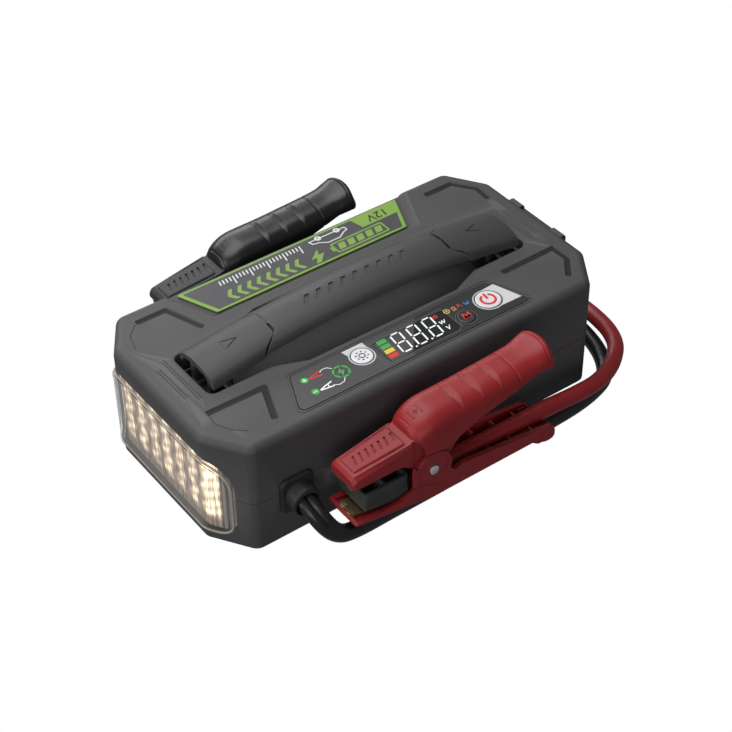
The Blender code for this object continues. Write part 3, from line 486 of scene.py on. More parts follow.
def rounded(outline, radius, steps=6):
    """The outline with each corner turned into an arc; radius may be a list, one for each corner."""
    out = []
    count = len(outline)
    for k, corner in enumerate(outline):
        r = radius[k] if isinstance(radius, (list, tuple)) else radius
        here = Vector(corner)
        back = (Vector(outline[k - 1]) - here).normalized()
        ahead = (Vector(outline[(k + 1) % count]) - here).normalized()
        if r <= 0:
            out.append(tuple(here))
            continue
        half = back.angle(ahead) / 2
        centre = here + (back + ahead).normalized() * (r / math.sin(half))
        start = here + back * (r / math.tan(half)) - centre
        end = here + ahead * (r / math.tan(half)) - centre
        first = math.atan2(start.y, start.x)
        sweep = (math.atan2(end.y, end.x) - first + math.pi) % (2 * math.pi) - math.pi
        for step in range(steps + 1):
            angle = first + sweep * step / steps
            out.append((centre.x + r * math.cos(angle), centre.y + r * math.sin(angle)))
    return out


def arc(centre, radius, start, end, steps):
    out = []
    for step in range(steps + 1):
        angle = math.radians(start + (end - start) * step / steps)
        out.append((centre[0] + radius * math.cos(angle), centre[1] + radius * math.sin(angle)))
    return out


def band(points, width):
    """Outline of a strip of the given width along a line of points."""
    left, right = [], []
    for k, point in enumerate(points):
        here = Vector(point)
        before = (here - Vector(points[k - 1])).normalized() if k else None
        after = (Vector(points[k + 1]) - here).normalized() if k + 1 < len(points) else None
        along = ((before or after) + (after or before)).normalized()
        side = Vector((-along.y, along.x))
        spread = width / 2 / max(0.4, side.dot(Vector((-(after or before).y, (after or before).x))))
        left.append(tuple(here + side * spread))
        right.append(tuple(here - side * spread))
    return left + right[::-1]


def hermite(table, x):
    """Value at x on a smooth curve through the table's points."""
    if x <= table[0][0]:
        return table[0][1]
    if x >= table[-1][0]:
        return table[-1][1]
    slopes = [(b[1] - a[1]) / (b[0] - a[0]) for a, b in zip(table, table[1:])]
    tangents = [slopes[0]]
    for a, b in zip(slopes, slopes[1:]):
        tangents.append(0.0 if a * b <= 0 else 2 * a * b / (a + b))
    tangents.append(slopes[-1])
    for k in range(len(table) - 1):
        (x0, y0), (x1, y1) = table[k], table[k + 1]
        if x <= x1:
            h = x1 - x0
            t = (x - x0) / h
            return ((2 * t ** 3 - 3 * t ** 2 + 1) * y0 + (t ** 3 - 2 * t ** 2 + t) * h * tangents[k]
                    + (-2 * t ** 3 + 3 * t ** 2) * y1 + (t ** 3 - t ** 2) * h * tangents[k + 1])


def ease(x, low, high):
    t = min(1.0, max(0.0, (x - low) / (high - low)))
    return t * t * (3 - 2 * t)


# ---------------------------------------------------------------- leads

BLACK_ROUTE = [
    (-82.0, -64.5, 32.6), (-81.9, -69.0, 31.6), (-81.1, -73.9, 28.5), (-79.4, -77.7, 23.8),
    (-76.7, -80.2, 18.3), (-73.0, -81.4, 13.0), (-67.8, -81.4, 8.7), (-60.6, -80.5, 6.0),
    (-51.0, -79.7, 4.6), (-39.5, -79.4, 4.5), (-10.0, -79.2, 4.5), (30.0, -78.4, 4.5),
    (67.4, -77.0, 4.5), (87.8, -75.8, 4.5), (101.9, -73.3, 4.5), (112.1, -69.6, 4.5),
    (119.0, -64.0, 4.5), (124.4, -55.8, 4.5), (128.4, -46.0, 4.5), (131.0, -35.0, 4.5),
    (133.0, -15.0, 4.5), (132.5, 8.0, 4.5), (129.0, 32.0, 5.5), (122.0, 53.0, 9.5),
    (110.0, 69.0, 14.5), (95.0, 78.5, 18.5), (78.0, 82.3, 21.3), (58.0, 83.0, 22.6),
    (30.0, 83.0, 22.6), (5.0, 83.0, 22.6),
]
RED_ROUTE = [
    (-82.0, 64.5, 32.6), (-81.9, 69.0, 31.6), (-81.3, 74.0, 28.6), (-80.0, 78.2, 24.0),
    (-77.7, 81.1, 18.4), (-74.2, 82.6, 13.0), (-69.0, 82.6, 8.7), (-61.8, 81.6, 6.0),
    (-52.0, 80.5, 4.6), (-40.0, 80.0, 4.5), (-10.0, 79.6, 4.5), (40.0, 79.8, 4.5),
    (75.0, 80.0, 4.5), (98.0, 78.6, 4.5), (118.0, 71.5, 4.5), (132.0, 58.0, 4.5),
    (140.5, 38.0, 4.5), (144.3, 15.0, 4.5), (144.5, -5.0, 5.5), (142.3, -20.0, 8.5),
    (138.9, -33.0, 12.0), (135.3, -48.0, 13.6), (129.8, -59.5, 13.9), (121.5, -67.5, 14.2),
    (110.5, -74.5, 15.6), (97.0, -79.8, 17.8), (80.0, -82.5, 20.6), (58.0, -83.0, 22.6),
    (30.0, -83.0, 22.6), (5.0, -83.0, 22.6),
]


def smooth_route(points, spacing):
    """Points at even spacing on a centripetal Catmull-Rom curve through the route."""
    route = [Vector(p) for p in points]
    route = [2 * route[0] - route[1], *route, 2 * route[-1] - route[-2]]
    fine = []
    for k in range(1, len(route) - 2):
        p0, p1, p2, p3 = route[k - 1:k + 3]
        t1 = math.sqrt((p1 - p0).length)
        t2 = t1 + math.sqrt((p2 - p1).length)
        t3 = t2 + math.sqrt((p3 - p2).length)
        for step in range(16):
            t = t1 + (t2 - t1) * step / 16
            a1 = p0.lerp(p1, t / t1)
            a2 = p1.lerp(p2, (t - t1) / (t2 - t1))
            a3 = p2.lerp(p3, (t - t2) / (t3 - t2))
            b1 = a1.lerp(a2, t / t2)
            b2 = a2.lerp(a3, (t - t1) / (t3 - t1))
            fine.append(b1.lerp(b2, (t - t1) / (t2 - t1)))
    fine.append(route[-2])
    total = sum((b - a).length for a, b in zip(fine, fine[1:]))
    count = round(total / spacing)
    out, walked, k = [fine[0]], 0.0, 0
    for step in range(1, count):
        target = total * step / count
        while walked + (fine[k + 1] - fine[k]).length < target:
            walked += (fine[k + 1] - fine[k]).length
            k += 1
        out.append(fine[k].lerp(fine[k + 1], (target - walked) / (fine[k + 1] - fine[k]).length))
    return out + [fine[-1]], total


def sweep(name, path, section, across):
    """Closed skin along a path. section(s) gives the ring at s mm, in a frame that starts with across."""
    rings, side, walked = [], Vector(across), 0.0
    for k, point in enumerate(path):
        ahead = (path[min(k + 1, len(path) - 1)] - path[max(k - 1, 0)]).normalized()
        side = (side - ahead * side.dot(ahead)).normalized()
        up = ahead.cross(side)
        rings.append([point + side * a + up * b for a, b in section(walked)])
        if k + 1 < len(path):
            walked += (path[k + 1] - point).length
    return loft(name, rings)


def lead_section(s):
    """Two cores side by side at the gland, which merge into one round jacket."""
    apart = 2.3 * (1 - ease(s, 16, 44))
    radius = 3.25 + (LEAD_RADIUS - 3.25) * ease(s, 16, 44)
    ring = []
    for c, d in circle(1.0, 40):
        length = apart * abs(c) + math.sqrt(radius ** 2 - (apart * d) ** 2)
        ring.append((length * c, length * d))
    return ring


def build_leads():
    for name, route, finish, slot in (
        ("black_lead", BLACK_ROUTE, LEAD_BLACK, "lead_black"), ("red_lead", RED_ROUTE, LEAD_RED, "lead_red"),
    ):
        path, total = smooth_route(route, 2.0)
        lead = sweep(f"{name}_jacket", path, lead_section, (1, 0, 0))
        piece(lead, finish, "case", slot, [name], 60, flat=False)
        tuple(c * MM for c in route[0])
        total * MM
        [tuple(p * MM) for p in path]


build_leads()


# ---------------------------------------------------------------- case

def plan(inset=0.0):
    """Plan outline of the case, an oblong with four corner facets, moved in by inset."""
    a, b = HALF_X - inset, HALF_Y - inset
    length = math.hypot(CORNER_X, CORNER_Y)
    across = CORNER_Y * HALF_X + CORNER_X * HALF_Y - CORNER_X * CORNER_Y - inset * length
    x = (across - CORNER_X * b) / CORNER_Y
    y = (across - CORNER_Y * a) / CORNER_X
    return [(x, -b), (a, -y), (a, y), (x, b), (-x, b), (-a, y), (-a, -y), (-x, -b)]


def case_blank(name):
    item = slab(name, rounded(plan(), 6.5, 8), "Z", FOOT_HEIGHT, CASE_TOP)

    def weigh(a, b):
        if abs(a.z - b.z) > 0.1:
            return 0.0
        return 1.0 if a.z > PARTING_Z else 0.26

    return bevel_where(item, 4.6, 8, weigh)


WELL_ENDS = oblong(-99, -17.5, 99, 17.5)
WELL_HALF = [(-78, -16.4), (-64, -17.1), (-46, -24.5), (46, -24.5), (64, -17.1), (78, -16.4)]
WELL_MIDDLE = WELL_HALF + [(x, -y) for x, y in reversed(WELL_HALF)]
WELL_LIP = [(68.9, 0), (70.1, 0.4), (70.52, 1.2), (74, 1.2)]
NOTCH = [(-62.5, 35.3), (62.5, 35.3), (76.0, 67), (-76.0, 67)]
PANEL_OUTLINE = [(-61.3, -29.4), (61.3, -29.4), (72.0, -54.3), (-72.0, -54.3)]
CORNER_LINES = [
    [(-107.6, -28.0), (-75.3, -28.6), (-83.6, -50.2)],
    [(-99.5, 50.6), (-82.3, 50.6), (-74.2, 28.0)],
    [(73.5, -28.5), (108.0, -28.3), (108.2, -39.8), (99.2, -51.3)],
    [(83.8, 50.0), (101.7, 50.0), (110.3, 38.0), (109.6, 27.0)],
]
FINE_LINES = [
    [(-107.6, -29.5), (-108.6, -36.0), (-104.5, -44.5), (-98.5, -50.0)],
    [(-100.5, 50.0), (-107.5, 43.0), (-110.2, 33.0)],
]
# Half width, middle height and half height of the lamp opening, and its lower and upper corner radii
LAMP_WIDE, LAMP_MIDDLE, LAMP_TALL, LAMP_CORNERS = 53.3, 33.0, 23.8, (8.0, 18.0)


def lamp_outline(grow=0.0):
    w, low, high = LAMP_WIDE + grow, LAMP_MIDDLE - LAMP_TALL - grow, LAMP_MIDDLE + LAMP_TALL + grow
    below, above = [corner + grow for corner in LAMP_CORNERS]
    return rounded(oblong(-w, low, w, high), [below, below, above, above], 14)


def soft_groove(name, line, width, depth):
    """Cutter for a sunk line with sloping sides in the top of the case."""
    top = CASE_TOP
    wider = 0.12 * width
    levels = [(top - depth, -0.22 * width), (top - depth * 0.55, -0.1), (top + 0.02, wider), (top + 3, wider)]
    return funnel(name, rounded(band(line, width), 0.25 * width, 3), levels)


def shared_openings():
    """Cutters for the openings that both halves of the case share: the lamp and the two glands."""
    return [
        slab("lamp_hole", lamp_outline(0.3), "X", -130, -104),
        slab("lamp_lip", lamp_outline(1.0), "X", -130, -119.3),
        *[rod("gland_hole", (GLAND_X, sign * 55, GLAND_Z), (GLAND_X, sign * 70, GLAND_Z), GLAND_HOLE)
          for sign in (-1, 1)],
    ]


def button_holes(clear, sides):
    return [rod(f"hole_{name}", (x, y, 60), (x, y, 80), r + clear, sides) for name, (x, y, r) in BUTTONS.items()]


def build_upper():
    item = case_blank("case_upper")
    inside = slab("inside", plan(WALL), "Z", PARTING_Z - 5, CEILING)
    cut(
        inside,
        box("skin_ends", (-101.2, -19.7, 53.8), (101.2, 19.7, 90)),
        slab("skin_middle", grown(WELL_MIDDLE, 2.2), "Z", 45.3, 80),
        slab("skin_notch", grown(NOTCH, 7.5), "Z", 63.8, 80),
    )
    cut(
        item,
        box("below", (-200, -100, -10), (200, 100, PARTING_Z + 0.2)),
        inside,
        funnel("well", rounded(WELL_ENDS, 4.0), [(56, 0), *WELL_LIP]),
        slab("well_deep", rounded(WELL_MIDDLE, 3.0), "Z", 47.5, 70.0),
        funnel("well_lip", rounded(WELL_MIDDLE, 3.0), [(60, 0), *WELL_LIP]),
        funnel("notch", NOTCH, [(NOTCH_FLOOR, 0), (69.6, 3.2), (70.1, 3.9), (70.52, 5.0), (75, 5.0)]),
        funnel("panel", rounded(PANEL_OUTLINE, 3, 6), [(69.5, 0), (70.3, 0), (70.52, 0.35), (74, 0.35)]),
        box("display_hole", (DISPLAY[0] + 1, DISPLAY[2] + 1, 60), (DISPLAY[1] - 1, DISPLAY[3] - 1, 80)),
        slab("port_hole", rounded(oblong(-22, 42, 22, 58), 2.0), "X", 112, 130),
        *shared_openings(),
    )
    cuts = button_holes(0.5, 48)
    cuts += [soft_groove(f"line_{k}", line, 3.1, 1.35) for k, line in enumerate(CORNER_LINES)]
    cuts += [soft_groove(f"fine_{k}", line, 0.6, 0.3) for k, line in enumerate(FINE_LINES)]
    for sign in (-1, 1):
        for k, (x, half) in enumerate([(103.6, 17.5), (105.2, 17.5), (108.8, 13.0), (110.4, 13.0)]):
            cuts.append(soft_groove(f"pair_{sign}_{k}", [(sign * x, -half), (sign * x, half)], 0.55, 0.3))
    # A fine line round the control panel, just outside the film
    outer, inner = rounded(grown(PANEL_OUTLINE, 1.5), 3.6, 5), rounded(grown(PANEL_OUTLINE, 1.0), 3.2, 5)
    ring = slab("panel_ring", outer, "Z", CASE_TOP - 0.3, 75)
    cut(ring, slab("panel_ring_hole", inner, "Z", 60, 80))
    cut(item, *cuts, ring)
    # Dark sheets sunk in the corner grooves: painted shade that darkens the groove floors
    groove_shade_sheets = [slab("groove_shade_sheet", rounded(band(line, 2.7), 0.6, 3), "Z", CASE_TOP - 1.3, CASE_TOP - 0.72)
              for line in CORNER_LINES]
    piece(merge("corner_line_shade_sheets", *groove_shade_sheets), PAINTED_GROOVE_SHADE, "case", "case_grey")
    lugs = []
    for sign in (-1, 1):
        outline = [(117.5, 59.5), (120.6, 60.5), (123.6, 63.2), (123.6, 67.0), (122.4, 68.4), (117.5, 68.4)]
        outline = rounded(outline, [0, 0.5, 0.8, 1.0, 0.8, 0], 4)
        lugs.append(bevel(slab("lug", outline, "Y", sign * 17 - 4.5, sign * 17 + 4.5), 0.5, 2, 40))
    case = merge("case_upper_shell", item, *lugs)
    return piece(case, CASE, "case", "case_grey", ["upper_housing"], 32)


def build_lower():
    item = case_blank("case_lower")
    inside = slab("inside", plan(WALL), "Z", FLOOR, 60)
    cut(
        item,
        box("above", (-200, -100, PARTING_Z - 0.2), (200, 100, 100)),
        inside,
        slab("belly", rounded(oblong(-75, -56, 75, 56), 6), "Z", 0, 5.0),
        *shared_openings(),
        *[rod("screw_hole", (x, y, 0), (x, y, deep), r)
          for x in (-SCREW_X, SCREW_X) for y in (-SCREW_Y, SCREW_Y) for deep, r in ((30, 1.9), (7.4, 4.2))],
    )
    cut(item, *[box("groove", (x - 1, -48, 4.2), (x + 1, 48, 5.5)) for x in range(-60, 61, 20)])
    return piece(item, CASE_LOW, "case", "case_grey", ["lower_housing"], 32)


def build_feet():
    for name, sx, sy in (("left_front", -1, -1), ("left_back", -1, 1), ("right_front", 1, -1), ("right_back", 1, 1)):
        x, y = sx * FOOT_X, sy * FOOT_Y
        profile = [(0.01, 0.0), (4.6, 0.0), (5.3, 0.2), (5.7, 0.7), (6.0, 2.4), (6.0, 3.3), (0.01, 3.3)]
        foot = loft(f"foot_pad_{name}", [[(x + a, y + b, z) for a, b in circle(r, 40)] for r, z in profile])
        cut(foot, *[rod(f"tread_{k}", (x - 8, y + 2.6 * k, -0.25), (x + 8, y + 2.6 * k, -0.25), 0.55, 12)
                    for k in (-1, 0, 1)])
        piece(foot, RUBBER, "case", "black_rubber", [f"foot_{name}"], 40)


# ---------------------------------------------------------------- work lamp

def lamp_light():
    """Fluted diffuser lit from behind by columns of warm LEDs, which it draws out into upright streaks; its base colour
    also carries the streaks as painted light, and past the LEDs it has painted light and shade in stripes along the
    flutes.
    """
    made = Finish("lamp_diffuser", (0.40, 0.34, 0.28), 0.3, specular=0.45)
    y, z = made.axis(1) * 1000.0, made.axis(2) * 1000.0
    turn = z * (2 * math.pi / 12.5)
    place = ((y + 27.2) * (1 / 11.85) + 20.5).math("FRACT") - 0.5 + turn.math("SINE") * 0.1
    column = place.math("ABSOLUTE").fit(0.10, 0.43, 1.0, 0.0, "SMOOTHSTEP")
    corner = (y + 42.0).math("ABSOLUTE").fit(3.6, 7.4, 1.0, 0.0, "SMOOTHSTEP")
    column = column.math("MAXIMUM", corner)
    spots = (z * (2 * math.pi / 6.25) + y * 0.45).math("SINE").fit(-1.0, 1.0, 0.5, 1.0)
    broad = made.noise(1.0, 3.0, 0.7, made.stretched(1000.0, 1000.0, 55.0)).fit(0.34, 0.66, 0.35, 1.25)
    fine = made.noise(1.0, 2.0, 0.6, made.stretched(2700.0, 2700.0, 130.0)).fit(0.32, 0.68, 0.55, 1.25)
    streaks = broad * fine
    ends = z.fit(14.5, 20.5, 0.0, 1.0, "SMOOTHSTEP") * z.fit(52.0, 55.0, 1.0, 0.0, "SMOOTHSTEP")
    sides = y.fit(-45.8, -43.8, 0.0, 1.0, "SMOOTHSTEP") * y.fit(38.5, 41.5, 1.0, 0.0, "SMOOTHSTEP")
    power = column * spots * streaks * ends * sides
    haze = streaks * sides * (ends * 0.6 + 0.4) * 0.2
    made.drive("Emission Strength", (power * 1.9 + haze * 2.2).math("MAXIMUM", 0.0))
    made.drive("Emission Color", made.mix(power.fit(0.0, 0.75), (0.66, 0.45, 0.32), (1.0, 0.80, 0.54)))
    # Base colour brighter along the light streaks: painted light
    painted_streak_glass = made.mix(streaks.fit(0.3, 1.2), (0.13, 0.11, 0.10), (0.42, 0.36, 0.31))
    # Light and dark stripes along the clear flutes: painted light and shade
    flute_shade_pattern = (y * (2 * math.pi / 2.35)).math("SINE") * 0.5 + broad * 0.5
    painted_flute_shading = made.mix(flute_shade_pattern.fit(-0.1, 0.9), (0.055, 0.052, 0.05), (0.42, 0.40, 0.38))
    made.drive("Base Color", made.mix(sides, painted_flute_shading, painted_streak_glass))
    return made.material


def lens_material():
    """Clear polycarbonate, darker where it is seen edge on."""
    made = Finish("lens_clear", (0.42, 0.40, 0.37), 0.07, specular=0.6, coat=0.4, coat_roughness=0.04)
    node = made.tree.nodes.new("ShaderNodeLayerWeight")
    node.inputs["Blend"].default_value = 0.3
    haze = made.noise(60.0, 3.0).fit(0.3, 0.7, 0.04, 0.10)
    made.drive("Alpha", Val(made.tree, node.outputs["Facing"]).fit(0.2, 0.95, 0.0, 0.62) + haze)
    made.drive("Roughness", made.noise(400.0).fit(0.3, 0.7, 0.04, 0.12))
    return made.material


def facet_x(y, inset):
    """X of the lamp end of the case at y, moved in by inset."""
    outline = plan(inset)
    knee = outline[5][1]
    if abs(y) <= knee:
        return outline[5][0]
    (x0, y0), (x1, y1) = outline[5], outline[4]
    return x0 + (x1 - x0) * (abs(y) - y0) / (y1 - y0)


def soft_facet_x(y, inset, blur=3.0):
    """The same line with its knee rounded."""
    return sum(facet_x(y + blur * (k / 4 - 1), inset) for k in range(9)) / 9


def lamp_reach(y, grow=0.0):
    """Lowest and highest point of the lamp opening at y."""
    w, half = LAMP_WIDE + grow, LAMP_TALL + grow
    ends = []
    for corner in LAMP_CORNERS:
        r = corner + grow
        over = max(0.0, abs(y) - (w - r))
        ends.append(half - r + math.sqrt(max(0.0, r * r - over * over)))
    return LAMP_MIDDLE - ends[0], LAMP_MIDDLE + ends[1]


def lens_sheet(name, grow, depth_of, columns, rows):
    """Sheet over the lamp opening; depth_of(y, edge) is how far in from the case skin it lies, edge mm from its rim."""
    w = LAMP_WIDE + grow - 0.02
    bm = bmesh.new()
    grid = []
    for k in range(columns + 1):
        y = -w + 2 * w * k / columns
        low, high = lamp_reach(y, grow)
        column = []
        for j in range(rows + 1):
            z = low + (high - low) * j / rows
            edge = min(z - low, high - z, w - abs(y))
            column.append(bm.verts.new(Vector((soft_facet_x(y, depth_of(y, edge)), y, z)) * MM))
        grid.append(column)
    for a, b in zip(grid, grid[1:]):
        for j in range(rows):
            bm.faces.new((a[j], a[j + 1], b[j + 1], b[j]))
    return add(name, mesh_from(bm, False))


def build_lamp():
    # Outer lens: a thin clear shell whose edge rolls back into the case
    def outer(y, edge):
        return -1.4 + 1.6 * (1 - ease(edge, 0.0, 1.6)) ** 2 + 0.35 * ease(edge, 2.6, 3.4)

    lens = lens_sheet("lamp_lens_shell", -0.2, outer, 320, 60)
    shell = lens.modifiers.new("thickness", "SOLIDIFY")
    shell.thickness = 1.3 * MM
    shell.offset = 0.0
    bake(lens)
    piece(lens, lens_material(), "case", "clear_lens", ["lamp_lens"], 50, flat=False)

    # Fluted diffuser just behind it
    def pleats(y, edge):
        wide = 0.8 * math.cos(math.pi * y / 2.35) ** 2 if abs(y) > 48 else 0
        return 1.7 + 0.42 * abs(math.sin(math.pi * y / 1.6)) + wide

    diffuser = lens_sheet("lamp_pleats", -1.6, pleats, 660, 8)
    piece(diffuser, lamp_light(), "case", "white_reflector", ["lamp_reflector"], 50, flat=False)

    # Milky bead round the rim of the lens, and the dark seal inside it
    for name, grow, depth, radius, finish in (
        ("lamp_rim_bead", -0.9, -0.7, 0.62, print_ink("rim_milk", (0.40, 0.36, 0.31), 0.25, glow=0.06)),
        ("lamp_rim_seal", -2.35, -1.05, 0.17, print_ink("rim_seal", (0.05, 0.045, 0.04), 0.4)),
    ):
        path = [Vector((soft_facet_x(y, depth), y, z)) for y, z in rounded_path(grow)]
        piece(closed_tube(name, path, radius), finish, "case", "clear_lens", (), 60, flat=False)

    # Board with its LEDs, behind the diffuser
    board, chips = [box("board", (-113.2, -35, 13.5), (-111.7, 35, 52.5))], []
    for k in range(LED_COLUMNS):
        y = -36 + 72.0 / LED_COLUMNS * (k + 0.5)
        board.append(box("strip", (-114.0, y - 2.2, 16), (-113.1, y + 2.2, 50)))
        for j in range(LED_ROWS):
            z, side = 18.5 + 4.15 * j, y + (0.7 if j % 2 else -0.7)
            chips.append(box("chip", (-114.6, side - 0.9, z - 1.2), (-113.9, side + 0.9, z + 1.2)))
    piece(merge("lamp_board", *board), PCB, "case", "board_green", ["lamp_led_board"], 30)
    piece(merge("lamp_leds", *chips), print_ink("led_phosphor", (0.9, 0.7, 0.3), glow=2.0), "case", "white_reflector")


def rounded_path(grow):
    """The lamp outline as points 1 mm apart or less."""
    outline = lamp_outline(grow)
    out = []
    for k, point in enumerate(outline):
        a, b = Vector(point), Vector(outline[(k + 1) % len(outline)])
        pieces = max(1, round((b - a).length))
        out += [tuple(a.lerp(b, j / pieces)) for j in range(pieces)]
    return out


def closed_tube(name, path, radius):
    """Ring-shaped tube along a closed path."""
    bm = bmesh.new()
    count = len(path)
    rows = []
    for k, point in enumerate(path):
        ahead = (path[(k + 1) % count] - path[k - 1]).normalized()
        side = ahead.cross(Vector((1, 0, 0))).normalized()
        up = ahead.cross(side)
        rows.append([bm.verts.new((point + side * a + up * b) * MM) for a, b in circle(radius, 8)])
    for k in range(count):
        ring_faces(bm, rows[k], rows[(k + 1) % count])
    return add(name, mesh_from(bm))


def circuit_board(name):
    """Green solder mask over copper tracks."""
    made = Finish(name, (0.02, 0.11, 0.05), 0.42, specular=0.5)
    tracks = made.cells(260.0, "DISTANCE_TO_EDGE").fit(0.02, 0.05)
    made.drive("Base Color", made.mix(tracks, (0.05, 0.22, 0.08), (0.012, 0.085, 0.035)))
    made.drive("Roughness", made.noise(500.0).fit(0.3, 0.7, 0.35, 0.5))
    made.bump(tracks, 0.2, 0.0001)
    return made.material


PCB = circuit_board("circuit_board")


# ---------------------------------------------------------------- carrying strap

def chevron_x(y):
    lean = max(0.0, (abs(y) - 9.0) / 6.0)
    return CHEVRON_TIP + lean * (CHEVRON_BACK - CHEVRON_TIP)


def strap_side(x):
    return 14.0 + (x / STRAP_END) ** 2


def strap_height(x, y):
    return STRAP_CREST - STRAP_FALL * (x / STRAP_END) ** 2 - STRAP_CROWN * abs(y / strap_side(x)) ** 2.3


def strap_solid(name, start, end, columns, thickness, skirt=0.0):
    """Crowned strap between two ends, each a function of y giving x, with rolled long edges."""
    rows = 28
    bm = bmesh.new()
    tops, unders = [], []
    for k in range(columns + 1):
        s = k / columns
        top, under = [], []
        for j in range(rows + 1):
            t = -1 + 2 * j / rows
            y = t * 15.0
            x = start(y) * (1 - s) + end(y) * s
            y = t * strap_side(x)
            z = strap_height(x, y)
            gap = (1 - abs(t)) * strap_side(x)
            roll = 1.1 * (1 - math.sqrt(max(0.0, 1 - (1 - min(1.0, gap / 1.6)) ** 2)))
            top.append(bm.verts.new(Vector((x, y, z - roll)) * MM))
            drop = thickness + skirt * ease(abs(t), 0.78, 0.84)
            under.append(bm.verts.new(Vector((x, y, z - drop)) * MM))
        tops.append(top)
        unders.append(under)
    for a, b, c, d in zip(tops, tops[1:], unders, unders[1:]):
        for j in range(rows):
            bm.faces.new((a[j], b[j], b[j + 1], a[j + 1]))
            bm.faces.new((c[j], c[j + 1], d[j + 1], d[j]))
        bm.faces.new((a[0], c[0], d[0], b[0]))
        bm.faces.new((a[rows], b[rows], d[rows], c[rows]))
    for row, low in ((tops[0], unders[0]), (tops[-1], unders[-1])):
        bm.faces.new([*row, *reversed(low)])
    return add(name, mesh_from(bm))


def build_strap():
    strap = strap_solid("strap_band", lambda y: -chevron_x(y) + 0.7, lambda y: chevron_x(y) - 0.7, 90, 3.0)
    # Slanted bars pressed into the crown
    marks = []
    for k in range(-4, 5):
        x = 7.5 * k
        outline = rounded([(x - 3.6, -3.2), (x - 0.6, -3.2), (x + 3.6, 3.2), (x + 0.6, 3.2)], 0.5, 3)
        marks.append(slab("mark", outline, "Z", strap_height(x, 0) - 0.7, STRAP_CREST + 3))
    cut(strap, *marks)
    piece(strap, STRAP, "strap", "case_grey", ["handle_strap"], 38)
    for side, sign in (("left", -1), ("right", 1)):
        cap = strap_solid(f"strap_cap_{side}", lambda y, s=sign: s * (chevron_x(y) + 0.8),
                          lambda y, s=sign: s * (STRAP_END - 0.02 * y * y / 15), 44, 2.8, 1.5)
        x = sign * 76.0
        base = [(x + sign * 4.5, 3.3), (x + sign * 4.5, -3.3)]
        for line in (base, [base[0], (x - sign * 3.8, 0.0), base[1]]):
            cut(cap, slab(f"arrow_{side}", band(line, 0.6), "Z", strap_height(x, 0) - 0.8, STRAP_CREST + 3))
        lugs = []
        px = sign * ANCHOR_X
        inner, outer = sorted((px - sign * 5.2, px + sign * 7.8))
        for y in (-7.5, 7.5):
            lug = slab("lug", rounded(oblong(inner, 59.0, outer, 76.2), [3, 3, 0, 0], 5), "Y", y - 1.5, y + 1.5)
            low, high = sorted((px - sign * 2.5, px + sign * 5.4))
            slot = rounded(oblong(low, ANCHOR_Z - 2.7, high, ANCHOR_Z + 3.0), 1.2, 4)
            lugs.append(cut(lug, slab("slot", slot, "Y", y - 4, y + 4)))
        lugs += [box("rib", (inner, y - 0.7, 72.4), (outer, y + 0.7, 74.6)) for y in (-11.6, 11.6)]
        cap = merge(f"strap_hood_{side}", cap, *lugs)
        piece(cap, STRAP, f"{side}_cap", "case_grey", [f"handle_{side}_cap"], 38)
        pin = bevel(rod(f"anchor_pin_{side}", (px, -17.2, ANCHOR_Z), (px, 17.2, ANCHOR_Z), 2.0, 32), 0.4, 2)
        piece(pin, STEEL, "case", "steel", [f"handle_{side}_pin"], 40)
        # Ribs and a bracket in the shallow end of the well
        low, high = reach(sign, 96.6, 98.6)
        details = [box("bracket", (sign * 74.0 - 3.6, -16.6, 62.8), (sign * 74.0 + 3.6, -15.2, 66.2))]
        for y in (-1, 1):
            details.append(box("web", (px - 9, y * 15.2 - 0.6, 56.0), (px + 9, y * 15.2 + 0.6, 60.5)))
            details.append(box("stop", (low, y * 11.75 - 3.25, 56), (high, y * 11.75 + 3.25, 64.5)))
        piece(bevel(merge(f"well_ribs_{side}", *details), 0.3, 2), CASE, "case", "case_grey")


# ---------------------------------------------------------------- glands and docks

def build_gland(side, sign):
    wall = sign * HALF_Y

    def shell(name, rings):
        """Skin through (distance out from the wall, half width, half height, corner radius, drop)."""
        skin = loft(name, [[(GLAND_X + a, wall + sign * out, GLAND_Z - drop + b)
                            for a, b in rounded(oblong(-w, -h, w, h), corner, 8)] for out, w, h, corner, drop in rings])
        bore = rod("bore", (GLAND_X, sign * 50, GLAND_Z + 2.8), (GLAND_X, sign * 76, GLAND_Z - 2.3), 6.5)
        return cut(skin, bore)

    flange = shell("flange", [(0.05, 9.6, 10.6, 3.8, 0), (1.7, 9.6, 10.6, 3.8, 0), (2.3, 9.2, 10.2, 3.6, 0),
                              (2.6, 8.5, 9.5, 3.2, 0)])
    boss = shell("boss", [
        (-4.0, 7.9, 7.9, 7.8, 0), (1.0, 8.0, 8.0, 7.8, 0), (5.0, 7.7, 7.7, 7.6, 0.3), (6.8, 7.6, 7.6, 7.5, 0.4),
        (7.1, 8.2, 8.2, 8.1, 0.45), (9.4, 8.1, 8.1, 8.0, 0.5), (10.0, 7.7, 7.7, 7.6, 0.55),
        (10.2, 7.1, 7.1, 7.0, 0.55),
    ])
    gland = merge(f"gland_{side}_boot", flange, boss)
    piece(gland, RUBBER, "case", "black_rubber", [f"gland_{side}"], 40)


